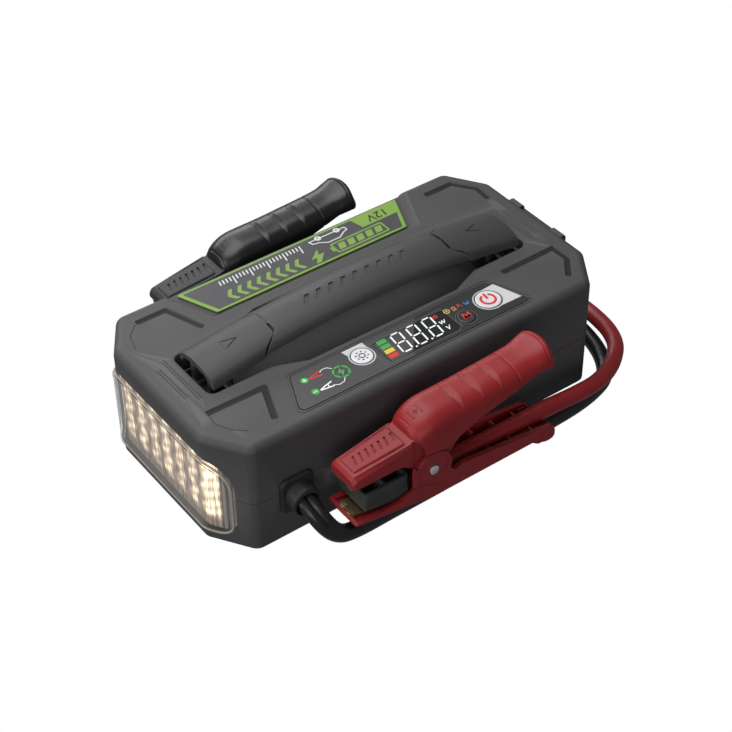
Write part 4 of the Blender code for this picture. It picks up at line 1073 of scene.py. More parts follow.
def build_dock(side, sign):
    outline = [(-66.0, HALF_Y), (-62.2, 67.5), (-61.3, 91.0), (-35.0, 91.0), (-35.0, HALF_Y)]
    outline = [(x, sign * y) for x, y in outline]
    dock = slab(f"dock_{side}_block", rounded(outline, [0, 1.5, 2.2, 1.6, 0], 6), "Z", 28.3, 37.2)

    def weigh(a, b):
        return 1.0 if abs(a.z - b.z) < 0.1 and abs(a.y) > 62.5 and abs(b.y) > 62.5 else 0.0

    bevel_where(dock, 0.7, 3, weigh)
    for k, (low, high) in enumerate([(-59.6, -49.4), (-47.4, -37.0)]):
        pocket = rounded(oblong(low, sign * 72.5, high, sign * 88.9), 1.0, 4)
        cut(dock, funnel(f"pocket_{k}", pocket, [(30.2, 0), (36.4, 0), (37.3, 0.6), (40, 0.6)]))
    low, high = reach(sign, 79.6, 80.6)
    rails = [box("rail", (x, low, 30.1), (x + 8.1, high, 34.5)) for x in (-58.5, -46.3)]
    keel = [(-61.3, 26.6), (-35.3, 22.8), (-35.3, 29.0), (-61.3, 29.0)]
    keel = slab("keel", keel, "Y", *reach(sign, 74.2, 91.0))
    dock = merge(f"dock_{side}_bracket", dock, bevel(keel, 0.5, 2, 40), *rails)
    piece(dock, DOCK, "case", "case_grey", [f"dock_{side}"], 32)


# ---------------------------------------------------------------- clamps; u, v and w run along X, Y and Z from the pin

LEAD_DROP = -12.9


def arm_bottom(u):
    return -19.1 + max(0.0, 2.0 - u) * (7.3 / 49.0)


HUMP = arc((0, 0), 11.0, 205, -25, 28)
ARM_TOP = [(-46.0, -9.4), (-32.0, -10.3), (-20.0, -10.2), (-12.4, -8.2), *HUMP, (14.0, -7.5), (18.0, -5.6),
           (74.5, -12.6)]
ARM_OUTLINE = (
    [(-46.6, arm_bottom(-46.6)), (-47.2, -10.7)] + ARM_TOP
    + [(77.4, -14.6), (78.2, -16.4), (78.2, -19.8), (76.8, -21.6), (74.0, -22.2), (68.0, -21.9), (64.0, -19.1),
       (2.0, -19.1)]
)


def clamp_arm():
    arm = slab("arm", ARM_OUTLINE, "Y", -11.5, 11.5)
    bevel(arm, 0.8, 3, 50)
    floor = [(-45.0, arm_bottom(-45.0) + 1.5), (2.0, -17.6), (75.6, -17.6), (75.6, 20), (-45.0, 20)]
    cut(arm, slab("channel", floor, "Y", -9.3, 9.3), slab("end", oblong(60, -17.6, 90, 20), "Y", -7.6, 7.6),
        rod("eye", (0, -20, 0), (0, 20, 0), 3.0))
    # Raised lip that follows the hump and runs on as the rail
    lip = [*arc((0, 0), 10.0, 196, -27, 26), (13.4, -8.7), (18.0, -6.75), (60, -11.9), (74.2, -13.7)]
    # Upright ridge in front of the hump, and the rib along the foot of the cheek
    ridge = [(-12.6, -6.2), (-9.9, -6.2), (-10.0, 4.4), (-11.9, 7.4), (-12.9, 5.0)]
    foot = [(-12.4, -7.4), (-7.0, -7.6), (-2.0, -9.4), (3.2, -13.2), (6.2, -18.6)]
    toe = [(70.4, -14.0), (77.6, -14.6), (78.4, -16.6), (78.4, -20.0), (76.9, -21.8), (73.8, -22.2), (70.4, -21.6)]
    rim = [(-46.2, -10.2), (-32.0, -11.1), (-20.0, -11.0), (-14.0, -9.8)]
    # Outline, nearest and farthest from the middle, and the bevel's width and segments
    details = [
        (band(lip, 2.1), 9.4, 12.15, 0.45, 3), (ridge, 10.5, 12.1, 0.5, 2), (band(foot, 1.0), 10.5, 11.85, 0.3, 2),
        (toe, 8.4, 12.3, 0.8, 3), (band(rim, 1.6), 9.0, 12.0, 0.4, 2),
    ]
    for u in (24.0, 38.0, 52.0, 66.0):
        top = -5.6 - (u - 18.0) * 0.124 - 1.5
        details.append(([(u - 0.8, -18.0), (u + 0.8, -18.0), (u + 0.6, top), (u - 0.6, top)], 5.4, 10.0, 0.25, 2))
    # Inner wall of the trough that holds the lead
    wall = [(12.0, -18.2), (74.0, -18.2), (74.0, -16.6), (66.0, -14.4), (18.0, -12.0), (12.0, -12.0)]
    parts = [arm]
    for sign in (-1, 1):
        parts += [bevel(slab("detail", outline, "Y", *reach(sign, near, far)), width, segments, 40)
                  for outline, near, far, width, segments in details]
        parts.append(slab("wall", wall, "Y", *reach(sign, 5.2, 6.0)))
    return merge("arm_shape", *parts)


JAW_TOP = [(-46.6, 17.2), (-44.0, 17.7), (-9.0, 22.8), (-5.5, 25.0), (0.0, 26.6)]


def clamp_jaw():
    rings = []
    for k in range(41):
        u = -46.6 + k * 0.95
        top = hermite(JAW_TOP, u)
        nose = ease(u, -46.7, -44.6)
        top -= 1.4 * (1 - nose)
        side = hermite([(-46.6, 9.0), (-45.2, 9.7), (-30, 9.9), (-13, 9.9), (-10, 9.3)], u)
        bottom = hermite([(-46.6, 11.2), (-45.6, 10.4), (-20.0, 10.2), (-12.5, 6.4), (-8.6, 3.0)], u)
        flat = hermite([(-46.6, 6.9), (-30, 7.5), (-10, 8.2)], u)
        knee = top - 1.9
        half = [(0.0, top + 0.25), (flat * 0.6, top + 0.2), (flat, top), (flat + 0.5, top - 0.2),
                (side - 0.5, knee + 0.25), (side - 0.12, knee - 0.25), (side, knee - 0.9),
                (side, bottom + 0.5), (side - 0.5, bottom)]
        rings.append([(u, v, w) for v, w in half] + [(u, -v, w) for v, w in reversed(half[1:])])
    nose = loft("nose", rings)
    hollow = [(-44.4, -20), (-4, -20), (-4, 21.4), (-10, 20.2), (-44.4, 15.0)]
    cut(nose, slab("nose_hollow", hollow, "Y", -7.2, 7.2))
    rear = [(-11.0, 6.0), *arc((0, 0), 9.0, 180, 360, 20), (18.0, 10.0), (30.0, 21.8), (50.0, 27.2), (58.0, 30.0),
            (58.0, 32.6), (50.0, 31.2), (20.0, 28.4), (2.0, 27.6), (-5.5, 24.6), (-11.0, 21.8)]
    neck = slab("neck", rear, "Y", -8.8, 8.8)
    ceiling = [(-20, -20), (70, -20), (70, 32.0), (50.0, 28.8), (20.0, 26.2), (3.0, 25.4), (-4.5, 22.2), (-20, 19.0)]
    cut(neck, slab("neck_hollow", ceiling, "Y", -6.8, 6.8), rod("eye", (0, -20, 0), (0, 20, 0), 3.0))
    parts = [nose, neck]
    # Raised name-plate wedge, left blank but for a row of slanted grip bars
    corners = [(-43.8, 5.9), (-43.8, -5.9), (-14.2, -7.6), (-14.2, 7.6)]

    def on_top(u, v, lift):
        return (u, v, hermite(JAW_TOP, u) + lift)

    levels = [(-0.4, -0.2), (0.55, -0.2), (0.95, -0.6), (1.05, -1.1)]
    plate = loft("plate", [[on_top(u, v, lift) for u, v in rounded(grown(corners, g), 0.9, 4)] for lift, g in levels])
    marks = []
    for k in range(7):
        u = -39.0 + 3.7 * k
        marks.append(slab("mark", [(u - 1.5, -2.9), (u - 0.2, -2.9), (u + 1.5, 2.9), (u + 0.2, 2.9)], "Z",
                          hermite(JAW_TOP, u) + 0.45, 40))
    cut(plate, *marks)
    parts.append(plate)
    for sign in (-1, 1):
        line = [(u, sign * v) for u, v in [(-44.8, 7.3), (-34.0, 7.9), (-12.0, 8.9)]]
        outline = band(line, 0.9)
        parts.append(loft("ridge", [[on_top(u, v, lift) for u, v in grown(outline, g)]
                                    for lift, g in [(-1.6, 0.25), (-0.25, 0.0), (0.05, -0.2)]]))
        # Teeth under the edge of the jaw
        teeth = [(-44.6, 10.6)]
        for k in range(9):
            teeth += [(-43.4 + 2.9 * k, 9.3), (-41.9 + 2.9 * k, 10.5)]
        teeth += [(-17.0, 12.0), (-44.6, 12.0)]
        parts.append(slab("teeth", teeth, "Y", *reach(sign, 7.0, 8.8)))
    return merge("jaw_shape", *parts)


GRIP_CREST = [(-10.7, 25.2), (-9.6, 26.9), (-7.4, 28.9), (-4.0, 30.9), (0.0, 32.4), (4.0, 33.1), (12.0, 33.4),
              (22.0, 33.6), (38.0, 34.5), (50.0, 35.2), (58.0, 35.9), (64.0, 36.9), (70.0, 38.3), (76.0, 40.3)]
GRIP_SIDE = [(-10.7, 9.4), (-9.4, 10.6), (-6.0, 11.9), (0.0, 12.8), (6.0, 13.0), (30.0, 12.7), (50.0, 12.5),
             (62.0, 12.5), (70.0, 12.8), (76.0, 13.0)]
FINGER_GROOVES = (18.0, 30.0, 41.5)
GRIP_FRONT, GRIP_END = -10.7, 75.5
GRIP_CROWN, GRIP_CHEEK, GRIP_POWER = 11.0, 15.0, 2.6
FINE_SEAMS = ((52.0, 0.36, 0.42), (73.0, 0.3, 0.3), (-8.9, 0.3, 0.3))


def grip_press(u, v):
    """How far the grip's skin is pressed in at u, v: finger crescents with a sharp front edge, then the fine seams."""
    depth = 0.0
    for place in FINGER_GROOVES:
        room = 1 - (v / 10.8) ** 2
        if room > 0:
            half = 1.9 * room ** 0.7
            rise = (u - place + half) / (2 * half)
            if 0 < rise < 1:
                depth = max(depth, 2.0 * room ** 0.5 * (1 - rise) ** 0.8 * min(1.0, rise / 0.09))
    for place, width, deep in FINE_SEAMS:
        depth = max(depth, deep * math.exp(-((u - place) / width) ** 2))
    if abs(v) > 9.5:
        depth = max(depth, 0.3 * math.exp(-((u - 60.6) / 0.3) ** 2) * ease(abs(v), 9.5, 11.5))
    return depth


def grip_ring(u, inset=0.0, tail=0.0):
    """Section of the grip at u, moved in by inset; tail from 0 to 1 rounds off the end."""
    crest, side = hermite(GRIP_CREST, u) - inset, hermite(GRIP_SIDE, u) - inset
    if tail:
        shrink = 1.7 * (1 - math.sqrt(max(0.0, 1 - tail * tail)))
        crest, side = crest - shrink, side - shrink
    ring = []
    for k in range(65):
        # From the foot of one side, over the crest, to the foot of the other
        c, s = math.cos(math.pi * k / 64), math.sin(math.pi * k / 64)
        v = -side * math.copysign(abs(c) ** (2.0 / GRIP_POWER), c)
        rise = abs(s) ** (2.0 / GRIP_POWER)
        shift = 0.0 if inset else grip_press(u, v) / max(1e-6, math.hypot(v / side, rise))
        ring.append((u, v - shift * v / side, crest - GRIP_CROWN + (GRIP_CROWN - shift) * rise))
    foot = crest - GRIP_CROWN
    ring += [(u, side - 0.5 * t, foot - GRIP_CHEEK * t) for t in (0.35, 0.7, 1.0)]
    ring += [(u, -side + 0.5 * t, foot - GRIP_CHEEK * t) for t in (1.0, 0.7, 0.35)]
    return ring


def leaned(ring):
    """The end of the grip leans back at the crest and tucks in below."""
    out = []
    for u, v, w in ring:
        lean = ease(u, 44.0, 69.0) * 6.0
        tuck = 0.1 * ease(u, 60.0, 72.0) * max(0.0, 32.0 - max(w, 22.0)) ** 2
        out.append((u - lean * ((w - 35.0) / 14.0 - 0.18) - 0.026 * ease(u, 60.0, 69.0) * v * v - tuck, v, w))
    return out


def grip_solid(name, inset=0.0):
    stations = []
    u = -14.0 if inset else GRIP_FRONT
    end = GRIP_END - (2.2 if inset else 0.0)
    while u < end - 2.0:
        stations.append((u, 0.0))
        near = min(abs(u - place) for place, _, _ in FINE_SEAMS + ((60.6, 0, 0),))
        u += 0.12 if near < 0.7 else (0.16 if any(abs(u - g) < 2.0 for g in FINGER_GROOVES) else 0.6)
    for k in range(9):
        turn = math.sin(k / 8 * math.pi / 2)
        stations.append((end - 2.0 + 2.0 * turn, 0.0 if inset else turn))
    rings = [leaned(grip_ring(max(GRIP_FRONT, u), inset, tail)) for u, tail in stations]
    if inset:
        rings = [[(su if k < 2 else p[0], p[1], p[2]) for p in ring]
                 for k, (ring, (su, _)) in enumerate(zip(rings, stations))]
    return loft(name, rings)


GRIP_BELOW = [
    (-13, -12), (-13, 20.5), (-11.2, 22.6), (-8.3, 21.2), (-5.6, 15.6), *arc((0, 0), 12.2, 112, 62, 8), (6.8, 11.6),
    (14.0, 14.2), (27.0, 19.4), (42.0, 22.6), (62.0, 28.2), (68.0, 28.8), (90, 29.1), (90, -12),
]
GRIP_SEAM = [(1.3, 40), (1.3, 33.0), (1.9, 28.9), (3.9, 24.8), (5.7, 20.6), (6.6, 15.0), (6.7, 8.0)]


def clamp_grip():
    grip = grip_solid("grip")
    cut(grip, slab("grip_below", GRIP_BELOW, "Y", -20, 20))
    cut(grip, grip_solid("grip_hollow", 2.4))
    seam = slab("seam", band(GRIP_SEAM, 0.32), "Y", -20, 20)
    cut(seam, grip_solid("seam_core", 0.42))
    cut(grip, seam)
    return grip


def emblem(positive):
    """Square frame with a plus or minus sign, raised on the front slope of the grip."""
    inner, outer = 2.4, 3.0
    bars = [((-0.35, -1.7), (0.35, 1.7))]
    for sign in (-1, 1):
        low, high = reach(sign, inner, outer)
        bars += [((-outer, low), (outer, high)), ((low, -outer), (high, outer))]
    if positive:
        bars.append(((-1.7, -0.35), (1.7, 0.35)))
    items = []
    for (u0, v0), (u1, v1) in bars:
        rings = []
        for lift, g in ((-0.5, 0.0), (0.1, 0.0), (0.16, -0.08)):
            ring = []
            for u, v in ((u0 - g, v0 - g), (u1 + g, v0 - g), (u1 + g, v1 + g), (u0 - g, v1 + g)):
                at = -3.1 + u * 0.93
                crest, side = hermite(GRIP_CREST, at), hermite(GRIP_SIDE, at)
                w = crest - GRIP_CROWN + GRIP_CROWN * (1 - abs(v / side) ** 2.5) ** (1 / 2.5)
                ring.append((at, v, w + lift))
            rings.append(ring)
        items.append(loft("bar", rings))
    return merge("emblem", *items)


def clamp_lower_contact():
    strip = [(-44.9, arm_bottom(-44.9) + 1.9), (2.0, -17.2), (16.0, -17.2), (16.0, -15.6), (2.0, -15.8),
             (-44.9, arm_bottom(-44.9) + 3.2)]
    parts = [bevel(slab("strip", strip, "Y", -6.0, 6.0), 0.3, 2, 30)]
    barrel_end = 4.7 - PIN_X
    rings = []
    for k in range(25):
        t = k / 24
        u = 14.4 + (barrel_end - 14.4) * t
        r = 4.4 - 0.5 * math.exp(-((u - 18.2) / 0.9) ** 2) - 0.5 * math.exp(-((u - 22.6) / 0.9) ** 2)
        rings.append([(u, a, b + LEAD_DROP) for a, b in circle(r, 32)])
    parts.append(loft("barrel", rings))
    for v in (-2.9, 2.6):
        parts.append(bevel(box("pad", (-46.0, v - 1.5, -12.0), (-42.4, v + 1.5, -8.6)), 0.3, 2, 30))
    return merge("lower_contact", *parts)


def clamp_upper_contact():
    tooth = [(-44.1, 9.4), (-42.4, 9.4), (-42.0, 12.0), (-14.0, 11.0), (-13.0, 12.4), (-42.0, 13.7), (-44.1, 13.7)]
    parts = [bevel(slab("tooth", tooth, "Y", -6.0, 6.0), 0.25, 2, 30)]
    parts += [bevel(box("corner", (-46.3, v - 1.6, 8.8), (-43.2, v + 1.6, 12.6)), 0.35, 2, 30) for v in (-5.0, 5.0)]
    return merge("upper_contact", *parts)


def clamp_pin():
    half = [(0.01, 12.45), (2.3, 12.42), (2.62, 12.2), (2.7, 11.9)]
    profile = [(r, -v) for r, v in half] + half[::-1]
    return loft("pin", [[(a, v, b) for a, b in circle(r, 40)] for r, v in profile])


def clamp_spring():
    radius, turns, pitch, steps = 4.9, 4, 2.2, 28
    points = [Vector((15.0, -4.4, 20.0)), Vector((11.0, -4.4, 14.6)), Vector((7.0, -4.4, 8.0))]
    for k in range(turns * steps + 1):
        angle = math.radians(20) - 2 * math.pi * k / steps
        across = -turns * pitch / 2 + pitch * k / steps
        points.append(Vector((radius * math.cos(angle), across, radius * math.sin(angle))))
    points += [Vector((7.6, 4.4, -4.0)), Vector((11.0, 4.4, -11.0))]
    return sweep("spring", points, lambda s: circle(0.8, 12), (0, 1, 0))


def placed(name, shape, place):
    """Copy of the shape under a new name, moved by place."""
    mesh = shape.data.copy()
    mesh.transform(place)
    return add(name, mesh)


def build_clamps():
    profile = ((12.2, 4.0), (12.3, 4.75), (13.0, 5.0), (26.0, 5.0), (29.0, 4.85), (29.4, 4.6), (29.5, 3.0))
    shapes = {
        "lower_arm": clamp_arm(), "upper_jaw": clamp_jaw(), "grip": clamp_grip(),
        "lower_contact": clamp_lower_contact(), "upper_contact": clamp_upper_contact(),
        "pivot_pin": clamp_pin(), "spring": clamp_spring(),
    }
    signs = {"red": emblem(True), "black": emblem(False)}
    # Sleeve over the joint of lead and barrel
    sleeve = loft("sleeve", [[(u, a, b + LEAD_DROP) for a, b in circle(r, 40)] for u, r in profile])
    brass = (BRASS, "copper")
    for colour, side, hard, soft, mark, lead in (
        ("red", -1, (RED, "clamp_red"), (RED_GRIP, "clamp_red"), (RED_MARK_SHADE, "clamp_red"), (LEAD_RED, "lead_red")),
        ("black", 1, (JAW_GREY, "jaw_grey"), (BLACK_GRIP, "grip_black"), (JAW_GREY, "grip_black"),
         (LEAD_BLACK, "lead_black")),
    ):
        jaw = f"{colour}_jaw"
        looks = {
            "lower_arm": (hard, "case"), "upper_jaw": (hard, jaw), "grip": (soft, jaw),
            "lower_contact": (brass, "case"), "upper_contact": (brass, jaw),
            "pivot_pin": ((PIN, "steel"), "case"), "spring": ((STEEL, "steel"), "case"),
        }
        place = Matrix.Translation(Vector((PIN_X, side * CLAMP_Y, PIN_Z)) * MM)
        for part, shape in shapes.items():
            (finish, slot), body = looks[part]
            item = placed(f"{colour}_{part}_piece", shape, place)
            piece(item, finish, body, slot, [f"{colour}_clamp_{part}"], 36, flat=part not in ("grip", "spring"))
        # On the red clamp the emblem's darker red is painted shade
        piece(placed(f"{colour}_emblem", signs[colour], place), mark[0], jaw, mark[1])
        piece(placed(f"{colour}_lead_sleeve", sleeve, place), lead[0], "case", lead[1], (), 50)
    for shape in [*shapes.values(), *signs.values(), sleeve]:
        bpy.data.objects.remove(shape, do_unlink=True)


# ---------------------------------------------------------------- control panel

def flat(outline, low, high):
    return slab("flat", outline, "Z", low, high)


def disc(x, y, r, low, high, sides=48):
    return flat([(x + a, y + b) for a, b in circle(r, sides)], low, high)


def ring_part(x, y, r0, r1, start, end, low, high, steps):
    """Part of a flat ring, from start to end in degrees."""
    outer = arc((x, y), r1, start, end, steps)
    inner = arc((x, y), r0, end, start, steps)
    if end - start < 360:
        return flat(outer + inner, low, high)
    bm = bmesh.new()
    rows = [[bm.verts.new(Vector((px, py, z)) * MM) for px, py in line[:-1]]
            for line, z in ((outer, low), (outer, high), (inner[::-1], high), (inner[::-1], low))]
    for a, b in zip(rows, rows[1:] + rows[:1]):
        ring_faces(bm, a, b)
    return add("ring", mesh_from(bm))


def stroke(points, width, low, high):
    return flat(band(points, width), low, high)


def lettering(name, text, x, y, size, low, high, turn=0.0, bold=0.0, slant=0.0):
    curve = bpy.data.curves.new(name, "FONT")
    curve.body = text
    curve.size = size * MM
    curve.align_x, curve.align_y = "CENTER", "CENTER"
    curve.extrude = (high - low) / 2 * MM
    curve.offset = bold * MM
    curve.shear = slant
    item = bpy.data.objects.new(name, curve)
    SCENE.collection.objects.link(item)
    shift = Matrix.Translation(Vector((x, y, (low + high) / 2)) * MM)
    item.matrix_world = shift @ Matrix.Rotation(math.radians(turn), 4, "Z")
    return add(name, mesh_of_curve(item))


def segment_digit(x, y, width, height, slant):
    """Seven-segment 8: (x, y) is the middle, slant shifts the top along X."""
    out = []
    # t is half the thickness of a segment
    h, w, t, gap = height / 2, width / 2, 0.44, 0.42

    def at(a, b):
        return (x + a + slant * b / h, y + b)

    for b in (h, 0.0, -h):
        a0, a1 = -w + t * 0.55 + gap, w - t * 0.55 - gap
        out.append([at(a0, b), at(a0 + t, b + t), at(a1 - t, b + t), at(a1, b), at(a1 - t, b - t), at(a0 + t, b - t)])
    for a in (-w, w):
        for low, high in ((gap, h - gap), (-h + gap, -gap)):
            out.append([at(a, low), at(a + t, low + t), at(a + t, high - t), at(a, high), at(a - t, high - t),
                        at(a - t, low + t)])
    return out


def film_openings():
    x0, x1, y0, y1 = DISPLAY
    return [box("window", (x0 - 0.3, y0 - 0.3, 60), (x1 + 0.3, y1 + 0.3, 80)), *button_holes(0.3, 64)]


def build_panel():
    top = PANEL_TOP
    film = slab("film", rounded(grown(PANEL_OUTLINE, -0.35), 2.7, 6), "Z", 69.8, top)
    cut(film, *film_openings())
    piece(bevel(film, 0.12, 2, 50), OVERLAY, "case", "overlay_grey", ["panel_overlay"], 32)

    # Darker printed half of the film, right of a slanted edge
    ink = top + 0.03
    dark = [(15.0, -29.8), (61.0, -29.8), (71.2, -53.7), (-3.0, -53.7)]
    shade = slab("film_dark", dark, "Z", top - 0.2, ink)
    cut(shade, *film_openings())
    piece(shade, OVERLAY_DARK, "case", "overlay_grey", (), 32)

    # Display window with its frame line
    x0, x1, y0, y1 = DISPLAY
    pane = slab("window_pane", rounded(oblong(x0, y0, x1, y1), 0.8, 4), "Z", 69.8, top - 0.02)
    piece(bevel(pane, 0.15, 2, 50), DISPLAY_GLASS, "case", "display_black", ["display_window"], 32)
    tint = [(x0 + 0.2, y0 + 0.2), (-1.5, y0 + 0.2), (10.9, y1 - 0.2), (x0 + 0.2, y1 - 0.2)]
    tint = slab("window_tint", tint, "Z", top - 0.2, top + 0.02)
    piece(tint, OVERLAY, "case", "overlay_grey", (), 32)

    lo, hi = top - 0.1, top + 0.07
    white, green, red, yellow, orange, blue, dim = [[] for _ in range(7)]

    # Frame line round the display, open at the top left like the glass edge
    frame_line = [(-17.0, -33.0), (-18.6, -51.0), (26.4, -52.0), (29.6, -49.6), (29.4, -34.4), (28.2, -32.6),
                  (-17.0, -33.0)]
    dim.append(stroke(frame_line, 0.28, lo, top + 0.05))

    # Digits
    for k in range(3):
        middle = -2.2 + 9.75 * k
        white += [flat(outline, lo, hi) for outline in segment_digit(middle, -41.6, 5.6, 14.4, 0.9)]
        if k < 2:
            white.append(disc(middle + 4.2, -48.8, 0.55, lo, hi, 16))
    # Charge bars
    for k, (y, into) in enumerate([(-35.8, green), (-39.7, green), (-43.5, yellow), (-47.3, red)]):
        shift = -0.35 * k
        into.append(flat([(-13.0 + shift, y - 1.45), (-7.6 + shift, y - 1.45), (-7.3 + shift, y + 1.45),
                          (-12.7 + shift, y + 1.45)], lo, hi))
    white.append(lettering("unit_w", "W", 23.4, -41.9, 3.6, lo, hi, bold=0.07, slant=0.2))
    white.append(lettering("unit_v", "V", 23.3, -47.1, 4.2, lo, hi, bold=0.07, slant=0.2))
    # Small status icons
    red += [ring_part(23.2, -36.2, 0.75, 1.25, 0, 360, lo, hi, 20),
            stroke([(21.9, -37.4), (24.5, -35.0)], 0.4, lo, hi),
            stroke([(37.2, -37.4), (38.0, -35.4), (38.8, -36.2), (39.4, -37.8)], 0.45, lo, hi)]
    yellow += [ring_part(30.4, -36.4, 1.25, 1.75, 0, 360, lo, hi, 24), disc(30.4, -36.4, 0.55, lo, hi, 12)]
    orange += [ring_part(34.7, -36.4, 0.7, 1.25, 0, 360, lo, hi, 20),
               stroke([(33.4, -38.1), (36.0, -38.1)], 0.45, lo, hi)]
    blue += [ring_part(42.8, -36.2, 0.9, 1.45, 150, 390, lo, hi, 20),
             stroke([(41.4, -37.8), (44.2, -37.8)], 0.5, lo, hi)]

    # White halos round two buttons, each with a wedge beside it
    px, py, pr = BUTTONS["power"]
    lx, ly, lr = BUTTONS["light"]
    light = []
    for x, y, inner, outer, wedge in (
        (px, py, pr + 0.3, 8.1, [(54.0, -33.7), (63.2, -33.2), (68.8, -49.6), (53.0, -49.3), (53.3, py)]),
        (lx, ly, lr + 0.3, 6.9, [(-30.8, -30.2), (-18.2, -30.2), (-17.9, -40.4), (lx, ly), (-28.6, -39.6)]),
    ):
        wedge = flat(wedge, lo, hi)
        light += [cut(wedge, rod("clear", (x, y, 60), (x, y, 80), outer + 0.02, 96)),
                  ring_part(x, y, inner, outer, 0, 360, lo, hi, 72)]
    piece(merge("prints_light", *light), LIGHT_INK, "case", "button_white", (), 32)
    dark_ring = [ring_part(px, py, 7.15, 7.5, 0, 360, lo, hi + 0.03, 72),
                 ring_part(lx, ly, 5.95, 6.25, 0, 360, lo, hi + 0.03, 64)]
    piece(merge("prints_ring", *dark_ring), DARK_INK, "case", "overlay_grey", (), 32)
    mx, my, _ = BUTTONS["mode"]
    dim.append(ring_part(mx, my, 5.35, 5.6, 0, 360, lo, hi, 64))

    # Connection guide: two clips and their leads to a ring with a bolt
    green += [ring_part(-39.0, -41.8, 3.55, 4.6, a + 6, a + 54, lo, hi, 10) for a in range(0, 360, 60)]
    green.append(flat([(-38.2, -38.9), (-41.2, -42.3), (-39.3, -42.2), (-39.9, -45.0), (-36.8, -41.3),
                       (-38.8, -41.4)], lo, hi))
    green += [disc(-57.2, -36.5, 2.05, lo, hi, 32), disc(-57.5, -46.4, 2.05, lo, hi, 32)]
    white += [stroke(line, 0.4, lo, hi + 0.03) for line in (
        [(-58.3, -36.5), (-56.1, -36.5)], [(-57.2, -37.6), (-57.2, -35.4)], [(-58.6, -46.4), (-56.4, -46.4)])]
    for into, y in ((red, -36.7), (white, -46.6)):
        into.append(stroke([(-54.9, y - 0.3), (-51.0, y + 1.0), (-47.0, y + 1.9)], 0.7, lo, hi))
        into.append(stroke([(-54.9, y - 0.5), (-51.0, y - 1.1), (-47.6, y - 1.5)], 0.7, lo, hi))
        into.append(stroke([(-50.2, y - 1.2), (-49.6, y + 1.4)], 0.5, lo, hi))
    for wire in ([(-47.8, -36.0), (-45.8, -34.9), (-43.2, -35.2), (-41.4, -37.2)],
                 [(-47.8, -47.6), (-45.0, -49.0), (-42.0, -48.6), (-40.0, -46.4)]):
        white.append(stroke(wire, 0.34, lo, hi))

    for name, items, ink in (
        ("white", white, LIT_WHITE), ("green", green, GREEN_INK), ("red", red, RED_INK), ("yellow", yellow, YELLOW_INK),
        ("orange", orange, ORANGE_INK), ("blue", blue, BLUE_INK), ("dim", dim, GREY_INK),
    ):
        piece(merge(f"prints_{name}", *items), ink, "case", "overlay_grey", (), 32)


def build_buttons():
    top = BUTTON_TOP
    for name, (x, y, r) in BUTTONS.items():
        profile = [(0.01, 66.9), (2.2, 66.9), (2.2, 67.5), (r - 0.2, 67.5), (r, 67.8), (r, top - 0.45),
                   (r - 0.12, top - 0.18), (r - 0.45, top - 0.03), (r - 1.1, top - 0.05), (r * 0.5, top - 0.16),
                   (0.01, top - 0.2)]
        cap = loft(f"{name}_button_cap", [[(x + a, y + b, z) for a, b in circle(q, 72)] for q, z in profile])
        finish = BUTTON_DARK if name == "mode" else BUTTON
        piece(cap, finish, f"{name}_button", "button_white", [f"{name}_button"], 32)
    lo, hi = top - 0.6, top + 0.02
    x, y, _ = BUTTONS["power"]
    symbol = merge("power_symbol", ring_part(x, y, 3.2, 4.5, 116, 424, lo, hi, 56),
                   stroke([(x, y + 0.6), (x, y + 4.9)], 1.3, lo, hi))
    shift = Matrix.Translation(Vector((x, y, 0)) * MM)
    symbol.data.transform(shift @ Matrix.Rotation(math.radians(-6), 4, "Z") @ shift.inverted())
    piece(symbol, RED_INK, "power_button", "button_white", (), 32)
    x, y, _ = BUTTONS["light"]
    sun = [ring_part(x, y, 1.3, 1.75, 0, 360, lo, hi, 32)]
    for k in range(8):
        a = math.radians(45 * k + 22.5)
        sun.append(disc(x + 3.1 * math.cos(a), y + 3.1 * math.sin(a), 0.42, lo, hi, 16))
    piece(merge("light_symbol", *sun), DARK_INK, "light_button", "overlay_grey", (), 32)
    x, y, _ = BUTTONS["mode"]
    symbol = lettering("mode_symbol", "M", x + 0.2, y, 6.6, lo, hi, bold=0.12, slant=0.15)
    piece(symbol, RED_INK, "mode_button", "overlay_grey", (), 32)


# ---------------------------------------------------------------- label

